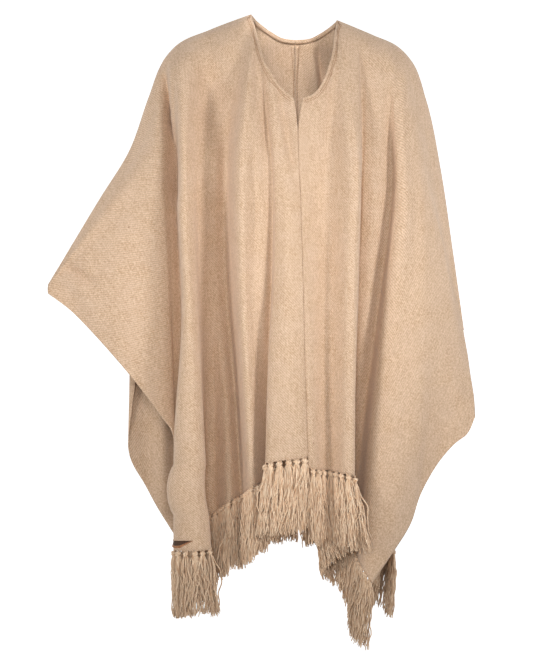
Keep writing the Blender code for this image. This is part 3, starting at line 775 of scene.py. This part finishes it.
def surface_wool(tree, shader, colour, height, bump_strength, values):
    """Gives a wool its colour, its bump and how it takes the light."""
    tree.links.new(colour, shader.inputs["Base Color"])
    bump = add_node(tree, "ShaderNodeBump", {"Height": height, "Strength": bump_strength,
                                             "Distance": BUMP_DEPTH * MM})
    tree.links.new(bump.outputs[0], shader.inputs["Normal"])
    for key, value in values.items():
        shader.inputs[key].default_value = value


def twill_material(name, tone, shade, bloom):
    """Camel wool, woven in twill and brushed.

    The eye gets a matt, warm beige with fine diagonal ribs, streaks where yarns are uneven, a short
    mottled nap with a faint sheen, and a few brown flecks.
    """
    made, tree, shader = blank_material(name)
    node = partial(add_node, tree)
    weave = node("ShaderNodeUVMap", uv_map="weave")
    place = node("ShaderNodeTexCoord").outputs["Object"]
    across = node("ShaderNodeSeparateXYZ", {0: weave})
    along = across.outputs[1]

    wander_scale, fleck_scale, cloud_scale, burr_scale = per_metre(YARN_WANDER, FLECK, CLOUD, BURR_PITCH)
    wander = node("ShaderNodeTexNoise", {"Vector": weave, "Scale": wander_scale, "Detail": 2.0})
    centred = node("ShaderNodeMath", {0: wander, 1: 0.5}, operation="SUBTRACT")
    wobble = node("ShaderNodeMath", {0: centred, 1: YARN_WOBBLE}, operation="MULTIPLY")
    slant = node("ShaderNodeMath", {0: across, 1: along}, operation="SUBTRACT")
    threads = []
    for distance, spacing in ((slant, RIB), (across, THREAD), (along, THREAD)):
        turns = 2 * math.pi / (spacing * MM)
        phase = node("ShaderNodeMath", {0: distance, 1: turns, 2: wobble}, operation="MULTIPLY_ADD")
        threads.append(node("ShaderNodeMath", {0: phase}, operation="SINE"))
    rib, warp, weft = threads
    streaks = []
    for size in (WARP_STREAK, WEFT_STREAK):
        stretched = node("ShaderNodeMapping", {"Vector": weave, "Scale": (*per_metre(*size), 1.0)})
        streaks.append(node("ShaderNodeTexNoise", {"Vector": stretched, "Scale": 1.0, "Detail": 3.0}))
    fleck = node("ShaderNodeTexNoise", {"Vector": place, "Scale": fleck_scale, "Detail": 4.0,
                                        "Roughness": 0.65})
    cloud = node("ShaderNodeTexNoise", {"Vector": place, "Scale": cloud_scale, "Detail": 3.0})

    # The fibres' light and dark, then the brushed bloom in patches.
    mottled = weighted_sum(tree, (fleck, 0.72), (streaks[0], 0.18), (streaks[1], 0.10))
    lightness = node("ShaderNodeMapRange", {"Value": mottled, "From Min": 0.4, "From Max": 0.6})
    fibres = node("ShaderNodeMix", {0: lightness, MIX_A: linear(shade), MIX_B: linear(tone)}, data_type="RGBA")
    patches = node("ShaderNodeMath", {0: cloud, 1: 0.55}, operation="MULTIPLY")
    brushed = node("ShaderNodeMix", {0: patches, MIX_A: fibres.outputs[MIX_RESULT], MIX_B: linear(bloom)},
                   data_type="RGBA")

    # Painted shade: dark between the ribs, and a little between the threads, where the weave's grooves lie.
    crossings = node("ShaderNodeMath", {0: warp, 1: weft}, operation="MULTIPLY")
    shades = []
    for pattern, darkest, lightest in ((rib, 0.82, 1.07), (crossings, 0.96, 1.03)):
        shades.append(node("ShaderNodeMapRange", {"Value": pattern, "From Min": -1.0, "From Max": 1.0,
                                                  "To Min": darkest, "To Max": lightest}))
    painted_groove_shade = node("ShaderNodeMath", {0: shades[0], 1: shades[1]}, operation="MULTIPLY")
    woven = node("ShaderNodeMix", {0: 1.0, MIX_A: brushed.outputs[MIX_RESULT], MIX_B: painted_groove_shade},
                 data_type="RGBA", blend_type="MULTIPLY")

    # A burr in a few of the cells that the cloth is divided into.
    cells = node("ShaderNodeTexVoronoi", {"Vector": place, "Scale": burr_scale}, feature="F1")
    rim, full = BURR_EDGE
    burr = node("ShaderNodeMapRange", {"Value": cells, "From Min": full, "From Max": rim,
                                       "To Min": BURR_STRENGTH, "To Max": 0.0})
    chance = node("ShaderNodeSeparateColor", {0: cells.outputs["Color"]})
    chosen = node("ShaderNodeMath", {0: chance, 1: BURR_RARITY}, operation="GREATER_THAN")
    burrs = node("ShaderNodeMath", {0: burr, 1: chosen}, operation="MULTIPLY")
    colour = node("ShaderNodeMix", {0: burrs, MIX_A: woven.outputs[MIX_RESULT], MIX_B: linear(BURR)},
                  data_type="RGBA")

    height = weighted_sum(tree, (rib, 0.5), (fleck, 1.4), (warp, 0.15))
    surface_wool(tree, shader, colour.outputs[MIX_RESULT], height.outputs[0], TWILL_BUMP, {
        "Roughness": 0.92, "Sheen Weight": 0.22, "Sheen Roughness": 0.55, "Specular IOR Level": 0.2})
    return made


def yarn_material(name, tone, shade, high=None):
    """Spun wool: a matt yarn whose fibres and twist show as fine light and dark lines.

    High is the paler tone and shade painted as light on the yarn that hangs highest, where it fades into them.
    """
    made, tree, shader = blank_material(name)
    node = partial(add_node, tree)
    place = node("ShaderNodeTexCoord").outputs["Object"]
    stretched = node("ShaderNodeMapping", {"Vector": place, "Scale": per_metre(*FIBRE)})
    fibre = node("ShaderNodeTexNoise", {"Vector": stretched, "Scale": 1.0, "Detail": 4.0, "Roughness": 0.6})
    share = node("ShaderNodeMapRange", {"Value": fibre, "From Min": 0.34, "From Max": 0.66})
    colour = node("ShaderNodeMix", {0: share, MIX_A: linear(shade), MIX_B: linear(tone)}, data_type="RGBA")
    # Painted light: the higher the yarn hangs, the paler it is painted, from its own colours to the high ones.
    if high:
        low_height, high_height = FRINGE_PAINTED_LIGHT_HEIGHTS
        height = node("ShaderNodeSeparateXYZ", {0: place}).outputs[2]
        lit = node("ShaderNodeMapRange", {"Value": height, "From Min": low_height, "From Max": high_height})
        painted_lit_colour = node("ShaderNodeMix", {0: share, MIX_A: linear(high[1]), MIX_B: linear(high[0])},
                     data_type="RGBA")
        colour = node("ShaderNodeMix", {0: lit, MIX_A: colour.outputs[MIX_RESULT],
                                        MIX_B: painted_lit_colour.outputs[MIX_RESULT]}, data_type="RGBA")
    twist_scale = 2 * math.pi / (WAVE_TEXTURE_TURNS * TWIST * MM)
    twist = node("ShaderNodeTexWave", {"Vector": place, "Scale": twist_scale, "Distortion": 3.0,
                                       "Detail": 2.0}, bands_direction="DIAGONAL")
    height = weighted_sum(tree, (fibre, 1.0), (twist.outputs["Fac"], 0.5))
    surface_wool(tree, shader, colour.outputs[MIX_RESULT], height.outputs[0], YARN_BUMP, {
        "Roughness": 0.9, "Sheen Weight": 0.2, "Sheen Roughness": 0.5, "Specular IOR Level": 0.25})
    return made


def paper_material(name):
    """White studio paper: it fades into its own glow behind the poncho, and is clear from its back."""
    made, tree, shader = blank_material(name)
    shader.inputs["Base Color"].default_value = (PAPER_GREY, PAPER_GREY, PAPER_GREY, 1)
    shader.inputs["Roughness"].default_value = 1.0
    shader.inputs["Emission Color"].default_value = (1, 1, 1, 1)
    place = add_node(tree, "ShaderNodeTexCoord").outputs["Object"]
    back = add_node(tree, "ShaderNodeSeparateXYZ", {0: place}).outputs[1]
    glow = add_node(tree, "ShaderNodeMapRange", {"Value": back, "From Min": GLOW_FROM, "From Max": GLOW_TO,
                                                 "To Max": GLOW})
    tree.links.new(glow.outputs[0], shader.inputs["Emission Strength"])
    behind = add_node(tree, "ShaderNodeNewGeometry").outputs["Backfacing"]
    clear = add_node(tree, "ShaderNodeBsdfTransparent")
    paper = add_node(tree, "ShaderNodeMixShader", {0: behind, 1: shader, 2: clear})
    tree.links.new(paper.outputs[0], tree.nodes["Material Output"].inputs["Surface"])
    return made


# ---------------------------------------------------------------- panels


def panel_orders(front, back):
    """Each quarter's columns, which match along the arm, and how many of them lie on its neckline."""
    quarters = (front, back)
    fine = [quarter.along(quarter.fine_order()) for quarter in quarters]
    shared = np.concatenate([[0.0], fine[0][fine[0] > NECK_POINT_GAP]])
    necks = [quarter.fine_order()[along < -NECK_POINT_GAP] for quarter, along in zip(quarters, fine)]
    necks[0] = np.concatenate([necks[0], front.order_at([-LAST_NECK_COLUMN])])
    orders = [np.concatenate([neck, quarter.order_at(shared)]) for quarter, neck in zip(quarters, necks)]
    return orders, [len(neck) for neck in necks]


def build_panel(name, front, back, finish):
    """One panel from its front and back, which share their points along the shoulder and arm."""
    orders, neck_counts = panel_orders(front, back)
    side = front.side
    parts, weaves, indexes = [], [], []
    for quarter, order in zip((front, back), orders):
        down = np.linspace(0, 1, ROWS[quarter.way] + 1) ** ROW_CROWDING
        grid = quarter.cloth(order, down)
        if quarter.way == FRONT:
            beside_seam = np.clip(1 - order, 0, 1)[:, None]
            grid[..., 1] += side * LAP * beside_seam**2
        strip_edge = grid[:1] + [side * SEAM_STRIP, 0, 0]
        grid = np.concatenate([grid[:1], strip_edge, grid[1:]])
        weave = weave_coordinates(quarter, order, down)
        weave = np.concatenate([weave[:1], weave[:1] + [SEAM_STRIP, 0], weave[1:]])
        weave *= [side, -quarter.way]
        offset = sum(len(part) for part in parts)
        indexes.append(np.arange(grid[..., 0].size).reshape(grid.shape[:2]) + offset)
        parts.append(grid.reshape(-1, 3))
        weaves.append(weave.reshape(-1, 2))
    # The seam's strip puts one more column before those that the front and back share.
    front_from, back_from = (count + 1 for count in neck_counts)
    indexes[1][back_from:, 0] = indexes[0][front_from:, 0]
    faces = np.concatenate([quads(indexes[0], side > 0), quads(indexes[1], side < 0)])
    used, renumbered = np.unique(faces, return_inverse=True)
    points, uv = np.concatenate(parts)[used], np.concatenate(weaves)[used]
    return thicken(mesh_object(name, points, renumbered.reshape(faces.shape), finish, uv), WALL)


# ---------------------------------------------------------------- sewing


def ribbon(name, first, second, finish):
    """A flat strip between two lines of points."""
    index = np.arange(2 * len(first)).reshape(2, -1)
    at = lengths_along(first)
    across = np.linalg.norm(second - first, axis=1)
    uv = np.concatenate([np.column_stack([0 * at, at]), np.column_stack([across, at])])
    return mesh_object(name, np.concatenate([first, second]), quads(index, False), finish, uv)


def stitches(name, path, normals, finish):
    """Short raised threads along a path, with gaps where they pass under the cloth."""
    at = lengths_along(path)
    starts = np.arange(STITCH_START, at[-1] - STITCH_LENGTH, STITCH_PITCH)
    shares, rises = np.transpose(STITCH_SHAPE)
    places = (starts[:, None] + shares * STITCH_LENGTH).ravel()
    line = on_line(places, at, path)
    line += on_line(places, at, normals) * (np.tile(rises, len(starts)) + STITCH_LIFT)[:, None]
    return yarns(name, line.reshape(len(starts), -1, 3), STITCH_RADIUS, finish, YARN_SIDES)


def neck_path(quarter):
    """Close points along the neckline's edge, and the way from each of them into the cloth."""
    order = quarter.order_at(np.linspace(quarter.edge.first, -NECK_SEWING_END, NECK_STEPS))
    near = quarter.cloth(order, np.array([0.0, 0.012]))
    edge, into = near[:, 0], near[:, 1] - near[:, 0]
    tangent = unit(np.gradient(edge, axis=0))
    return edge, unit(into - tangent * (into * tangent).sum(1, keepdims=True))


def sew_neckline(name, quarter, laid, cloth, thread):
    """The neckline's rolled edge, the edge turned inside and its rows of stitches."""
    edge, into = neck_path(quarter)
    roll_from, roll_out = NECK_ROLL_SET
    rolled, _ = laid.at(edge + into * roll_from, roll_out)
    hem = NECK_HEM[quarter.way]
    near, _ = laid.at(edge + into * NECK_HEM_SET, INNER_LAYER)
    far, _ = laid.at(edge + into * hem, INNER_LAYER)
    made = [yarns(f"{name}_roll", rolled[None], NECK_ROLL, cloth, CORD_SIDES),
            thicken(ribbon(f"{name}_hem", near, far, cloth), HEM_WALL)]
    for number, width in enumerate(NECK_STITCH_ROWS[quarter.way]):
        row, out = laid.at(edge + into * width, WALL / 2)
        made.append(stitches(f"{name}_stitches_{number}", row, out, thread))
        inside = min(width, hem - STITCH_MARGIN)
        row, out = laid.at(edge + into * inside, INNER_LAYER - HEM_WALL / 2)
        made.append(stitches(f"{name}_under_stitches_{number}", row, -out, thread))
    return made


def press_seam(name, quarter, laid, cloth, thread):
    """The seam allowance pressed open inside, with the thread that holds it."""
    seam = quarter.cloth(np.zeros(1), np.linspace(*ALLOWANCE_REACH, ALLOWANCE_STEPS))[0]
    width = read_off(ALLOWANCE, lengths_along(seam))[:, None]
    if quarter.way == FRONT:
        below_slit = seam[:, 2] < SLIT_BOTTOM
        seam, width = seam[below_slit], width[below_slit]
    aside = np.array([quarter.side, 0.0, 0.0])
    near, _ = laid.at(seam + aside * ALLOWANCE_SET, INNER_LAYER)
    far, _ = laid.at(seam + aside * width, INNER_LAYER)
    allowance = thicken(ribbon(f"{name}_allowance", near, far, cloth), HEM_WALL)
    row, out = laid.at(seam + aside * (width - ALLOWANCE_STITCHES), INNER_LAYER - HEM_WALL / 2)
    return [allowance, stitches(f"{name}_allowance_stitches", row, -out, thread)]


def corner_fold(laid, cloth, lip, inside):
    """The small fold sewn into the right panel's front corner: its lips, and a near black-brown sheet painted
    as the shade inside it.
    """
    share = np.linspace(0, 1, CORNER_FOLD_STEPS)
    (x0, z0), (x1, z1) = CORNER_FOLD
    belly = np.sin(math.pi * share**CORNER_FOLD_BELLY)
    edges = []
    for rise, out in zip((CORNER_FOLD_RISE, -CORNER_FOLD_DROP), CORNER_FOLD_OUT):
        x, z = x0 + (x1 - x0) * share, z0 + (z1 - z0) * share + rise * belly
        before = np.column_stack([x, read_off(CORNER_FOLD_FROM, share), z])
        edges.append(laid.at(before, WALL / 2 + out)[0])
    upper, lower = edges
    upper_radii, lower_radii = (LIP_RADIUS + swell * belly for swell in (UPPER_LIP_SWELL, LOWER_LIP_SWELL))
    return [
        # painted shade: a dark sheet across the fold's opening
        ribbon("right_corner_fold_painted_shade", upper, lower, inside),
        yarns("right_corner_fold_top", (upper + UP * UPPER_LIP_LIFT)[None], upper_radii, cloth, CORD_SIDES),
        yarns("right_corner_fold_lip", lower[None], lower_radii, lip, CORD_SIDES),
    ]


# ---------------------------------------------------------------- yarn and fringe


def yarn_tree(name, finish):
    """Turns lines into round yarn: each point's thickness is its own."""
    tree = bpy.data.node_groups.new(name, "GeometryNodeTree")
    tree.interface.new_socket("Geometry", in_out="INPUT", socket_type="NodeSocketGeometry")
    tree.interface.new_socket("Sides", in_out="INPUT", socket_type="NodeSocketInt")
    tree.interface.new_socket("Geometry", in_out="OUTPUT", socket_type="NodeSocketGeometry")
    node = partial(add_node, tree)
    entry = node("NodeGroupInput")
    curve = node("GeometryNodeMeshToCurve", {"Mesh": entry.outputs["Geometry"]})
    thickness = node("GeometryNodeInputNamedAttribute", {"Name": "thickness"}, data_type="FLOAT")
    sized = node("GeometryNodeSetCurveRadius", {"Curve": curve, "Radius": thickness})
    ring = node("GeometryNodeCurvePrimitiveCircle", {"Resolution": entry.outputs["Sides"], "Radius": 1.0},
                mode="RADIUS")
    tube = node("GeometryNodeCurveToMesh", {"Curve": sized, "Profile Curve": ring, "Scale": thickness,
                                            "Fill Caps": True})
    real = node("GeometryNodeRealizeInstances", {0: tube})
    rounded = node("GeometryNodeSetShadeSmooth", {0: real})
    finished = node("GeometryNodeSetMaterial", {0: rounded, "Material": finish})
    node("NodeGroupOutput", {0: finished})
    return tree


def realised(made):
    """The object with its Geometry Nodes turned into a plain mesh."""
    graph = bpy.context.evaluated_depsgraph_get()
    mesh = bpy.data.meshes.new_from_object(made.evaluated_get(graph), depsgraph=graph)
    made.modifiers.clear()
    made.data = mesh
    mesh.name = made.name
    return made


def yarns(name, lines, radii, finish, sides, closed=False):
    """Round yarns along lines, an array [yarn, step, xyz]."""
    lines = np.asarray(lines, float)
    count, steps = lines.shape[:2]
    index = np.arange(count * steps).reshape(count, steps)
    edges = np.stack([index[:, :-1], index[:, 1:]], axis=-1).reshape(-1, 2)
    if closed:
        edges = np.concatenate([edges, np.stack([index[:, -1], index[:, 0]], axis=-1)])
    mesh = bpy.data.meshes.new(name)
    mesh.from_pydata((lines.reshape(-1, 3) * MM).tolist(), edges.tolist(), [])
    thickness = mesh.attributes.new("thickness", "FLOAT", "POINT")
    values = np.broadcast_to(radii, (count, steps)) * MM
    thickness.data.foreach_set("value", values.astype(np.float32).ravel())
    made = new_object(name, mesh)
    tree = yarn_tree(f"{name}_tree", finish)
    modifier = made.modifiers.new("yarn", "NODES")
    modifier.node_group = tree
    socket = next(i for i in tree.interface.items_tree if i.name == "Sides" and i.in_out == "INPUT")
    modifier[socket.identifier] = sides
    return realised(made)


# The knots along one hem: their places, the way along the hem, the way out of the cloth, the way
# down it, the columns they hang from and the distance between them.
Hem = namedtuple("Hem", "spot tangent outward fall order pitch")


def knotted_hem(quarter, rng):
    """The knots of one hem, evenly spaced but for a little chance."""
    dense = np.linspace(0, quarter.corner, 1200)
    above, hem = quarter.cloth(dense, np.array([0.985, 1.0])).transpose(1, 0, 2)
    at = lengths_along(hem)
    count = max(2, int(round(at[-1] / KNOT_PITCH)))
    pitch = at[-1] / count
    places = (np.arange(count) + 0.5) * pitch + rng.uniform(-KNOT_WANDER, KNOT_WANDER, count)
    reach = 3  # either side of the place, so that the tangent passes over the cloth's small waves
    tangent = unit(on_line(places + reach, at, hem) - on_line(places - reach, at, hem))
    level = unit(tangent * [1, 1, 0])
    outward = np.stack([level[:, 1], -level[:, 0], np.zeros(count)], axis=1) * -quarter.way * quarter.side
    fall = unit(on_line(places, at, hem - above))
    return Hem(on_line(places, at, hem), tangent, outward, fall, np.interp(places, at, dense), pitch)


def knot_lines(hem, rng):
    """A closed loop of yarn round each bundle, pulled into an overhand knot."""
    turn = np.linspace(0, 2 * np.pi, KNOT_STEPS + 1)[:-1]
    across = (np.sin(turn) + 2 * np.sin(2 * turn)) / 3.0
    upright = (np.cos(turn) - 2 * np.cos(2 * turn)) / 3.0
    through = -np.sin(3 * turn)
    lines = []
    for spot, tangent, outward in zip(hem.spot, hem.tangent, hem.outward):
        wide, deep, high = np.array(KNOT_SIZE) * rng.uniform(*KNOT_SCALE)
        tilt = rng.uniform(-KNOT_TILT, KNOT_TILT)
        aside = tangent * np.cos(tilt) + UP * np.sin(tilt)
        above = UP * np.cos(tilt) - tangent * np.sin(tilt)
        lines.append(spot - UP * KNOT_DROP
                     + np.outer(across, aside) * (wide - KNOT_YARN)
                     + np.outer(upright, above) * (high - KNOT_YARN * KNOT_FLATTENING)
                     + np.outer(through, outward) * (deep - KNOT_YARN))
    return np.array(lines)


def gather_lines(hem, rng):
    """The warp ends that gather from the cloth's edge into each knot."""
    lines = []
    for spot, tangent, outward in zip(hem.spot, hem.tangent, hem.outward):
        for share in np.linspace(-GATHER_SPREAD, GATHER_SPREAD, GATHERS):
            start = spot + tangent * share * hem.pitch + UP * GATHER_RISE
            end = spot - UP * (KNOT_DROP - GATHER_DROP) + tangent * share * GATHER_IN_KNOT
            end = end + outward * rng.uniform(-1, 1)
            middle = (start + end) / 2 + outward * rng.uniform(-0.3, 0.3)
            lines.append([start, middle, end])
    return np.array(lines)


def wave(rng, low, high, slow, fast):
    """A wave down a strand, of chance height, length and start."""
    height = rng.uniform(low, high)
    turns = rng.uniform(slow, fast) * STRAND_DOWN + rng.uniform()
    return height * np.sin(2 * math.pi * turns)


def sway(rng, number, size, step, start, spread):
    """How far a tassel's end swings: a slow wave from tassel to tassel, and chance."""
    return size * math.sin(number * step + start) + rng.normal(0, spread)


def tassel(spot, along, outward, length, drift, swing, rng):
    """The strands of one tassel, and their radii."""
    down = STRAND_DOWN
    spread_along, spread_out = read_off(SPREAD_ALONG, down), read_off(SPREAD_OUT, down)
    grown = np.clip(down / WAVE_GROWTH, 0, 1)
    bend = wave(rng, *TASSEL_BEND)
    lines, radii = [], []
    for number in range(STRANDS):
        reach = math.sqrt(rng.uniform(0.02, 1))  # evenly over the tassel's round section
        angle = rng.uniform(0, 2 * math.pi)
        own = length * rng.uniform(*OWN_SCALE)
        wide = WIDE_SPREAD if number < WIDE_STRANDS else 1.0
        wave_along = sum(wave(rng, *row) for row in WAVES_ALONG)
        wave_out = sum(wave(rng, *row) for row in WAVES_OUT)
        bow, lifted, share_down = 0, 0, 1.0
        if rng.uniform() < STRAY_SHARE:
            bow = rng.uniform(*STRAY_BOW) * rng.choice([-1, 1])
            bow = bow * np.sin(math.pi * np.clip(down * 1.25 - 0.1, 0, 1)) ** 2
            lifted, share_down = STRAY_OUT * np.sin(math.pi * down), STRAY_DROP
        swung_along, swung_out = (size * down**SWAY_SWEEP for size in swing)
        sideways = math.cos(angle) * reach * spread_along * wide + (wave_along + bend) * grown
        sideways = sideways + swung_along + bow
        outwards = math.sin(angle) * reach * spread_out + wave_out * grown + swung_out + lifted
        drop = KNOT_DROP + STRAND_START + own * down * share_down
        lines.append(spot - np.outer(drop, UP) + np.outer(sideways, along) + np.outer(outwards, outward)
                     + np.outer(down**LEAN_SWEEP, drift))
        radii.append(STRAND_RADIUS * rng.uniform(*STRAND_SCALE) * read_off(STRAND_TAPER, down))
    return lines, radii


def strand_lines(hem, leans, lengths, rng):
    """The strands of every tassel along a hem, and their radii."""
    lines, radii = [], []
    for number, (spot, tangent, outward, fall) in enumerate(zip(hem.spot, hem.tangent, hem.outward, hem.fall)):
        along = unit(tangent * TASSEL_LEVEL)
        length = TASSEL_LENGTH * lengths[number] * rng.uniform(*TASSEL_SCALE)
        swing = [sway(rng, number, *row) for row in (SWAY_ALONG, SWAY_OUT)]
        drift = fall * FALL_CARRY * [1, 1, 0] + [leans[number], 0, 0]
        tassel_lines, tassel_radii = tassel(spot, along, outward, length, drift, swing, rng)
        lines += tassel_lines
        radii += tassel_radii
    return np.array(lines), np.array(radii)


def build_fringe(name, quarter, finish, rng):
    """One hem's tassels, their knots and the warp ends gathered into them."""
    hem = knotted_hem(quarter, rng)
    leans, lengths = (
        np.interp(hem.order, [quarter.names.index(key) for key in table], list(table.values()))
        for table in (quarter.leans, quarter.lengths)
    )
    strands, radii = strand_lines(hem, leans, lengths, rng)
    return (
        yarns(name, strands, radii, finish, YARN_SIDES),
        yarns(f"{name}_knots", knot_lines(hem, rng), KNOT_YARN, finish, KNOT_SIDES, closed=True),
        yarns(f"{name}_gathers", gather_lines(hem, rng), GATHER_RADIUS, finish, YARN_SIDES),
    )


# ---------------------------------------------------------------- studio


def curved_floor(finish):
    """A plain floor that curves up behind into a wall."""
    turn = np.linspace(0, math.pi / 2, FLOOR_BEND_STEPS + 1)
    bend = [(WALL_PLACE - FLOOR_BEND + FLOOR_BEND * math.sin(a), FLOOR_HEIGHT + FLOOR_BEND * (1 - math.cos(a)))
            for a in turn]
    profile = [(FLOOR_FRONT, FLOOR_HEIGHT), *bend, (WALL_PLACE, WALL_TOP)]
    points = [(x, y, z) for y, z in profile for x in (-FLOOR_SIDES, FLOOR_SIDES)]
    faces = [(2 * i, 2 * i + 1, 2 * i + 3, 2 * i + 2) for i in range(len(profile) - 1)]
    mesh = bpy.data.meshes.new("studio_floor")
    mesh.from_pydata(points, [], faces)
    mesh.shade_smooth()
    mesh.materials.append(finish)
    return new_object("studio_floor", mesh)


def add_lamp(lamp):
    """A round lamp whose beam fades towards its edge."""
    data = bpy.data.lights.new(lamp.name, "SPOT")
    data.energy, data.shadow_soft_size = lamp.power, lamp.radius
    data.spot_size, data.spot_blend = math.radians(lamp.angle), 1.0
    made = new_object(lamp.name, data)
    made.location = lamp.place
    made.rotation_euler = (Vector(lamp.target) - Vector(lamp.place)).to_track_quat("-Z", "Y").to_euler()
    made.visible_camera = False


def studio():
    """Paper, daylight from all round, the lamps and the camera."""
    curved_floor(paper_material("studio_paper"))
    scene = bpy.context.scene
    scene.world = scene.world or bpy.data.worlds.new("studio")
    scene.world.use_nodes = True
    background = scene.world.node_tree.nodes["Background"]
    background.inputs["Color"].default_value = (1, 1, 1, 1)
    background.inputs["Strength"].default_value = WORLD_STRENGTH
    for lamp in LAMPS:
        add_lamp(lamp)
    data = bpy.data.cameras.new("camera")
    data.sensor_fit, data.sensor_width = "HORIZONTAL", SENSOR
    data.lens = SENSOR * CAMERA_DISTANCE / VIEW_WIDTH
    data.clip_end = VIEW_END
    camera = new_object("camera", data)
    camera.location = (VIEW_CENTRE[0], -CAMERA_DISTANCE, VIEW_CENTRE[1])
    camera.rotation_euler = (math.pi / 2, 0, 0)
    scene.camera = camera
    scene.view_settings.view_transform = "Standard"
    scene.view_settings.look = "None"


# ---------------------------------------------------------------- the poncho


def build_side(name, finishes, rng):
    """One panel with all that is sewn to it and hangs from it."""
    quarters = {part: Quarter(name, part) for part in PARTS}
    panel = build_panel(f"{name}_panel_cloth", quarters["front"], quarters["back"], finishes["twill"])
    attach(panel, "root")
    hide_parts(f"{name}_panel")
    extras = []
    for part, quarter in quarters.items():
        laid = Laid(quarter)
        wool = (finishes["twill"], finishes["thread"])
        sewing = sew_neckline(f"{name}_{part}_neck", quarter, laid, *wool)
        sewing += press_seam(f"{name}_{part}_seam", quarter, laid, *wool)
        if (name, part) == ("right", "front"):
            sewing += corner_fold(laid, finishes["twill"], finishes["lip"], finishes["fold"])
        for piece in sewing:
            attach(piece, "root")
        fringe = build_fringe(f"{name}_{part}_fringe_yarn", quarter, finishes["yarn"], rng)
        for piece in fringe:
            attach(piece, "root")
        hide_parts(f"{name}_{part}_fringe")
        extras += [*sewing, *fringe]


def main():
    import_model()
    for name in ("Cube", "Light", "Camera"):  # what a new Blender file holds
        if name in bpy.data.objects:
            bpy.data.objects.remove(bpy.data.objects[name], do_unlink=True)
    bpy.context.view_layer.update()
    finishes = {
        "twill": twill_material("wool_twill_finish", *TWILL, TWILL_BLOOM),
        "yarn": yarn_material("wool_yarn_finish", *FRINGE_YARN, FRINGE_YARN_PAINTED_LIGHT),
        "lip": yarn_material("selvedge_cord_finish", *SELVEDGE_CORD),
        # painted shade for the inside of the corner fold
        "fold": yarn_material("fold_painted_shade_finish", *FOLD_PAINTED_SHADE),
        "thread": yarn_material("sewing_thread_finish", *SEWING_THREAD),
    }
    rng = np.random.default_rng(SEED)
    for name in SIDES:
        build_side(name, finishes, rng)
    studio()


main()
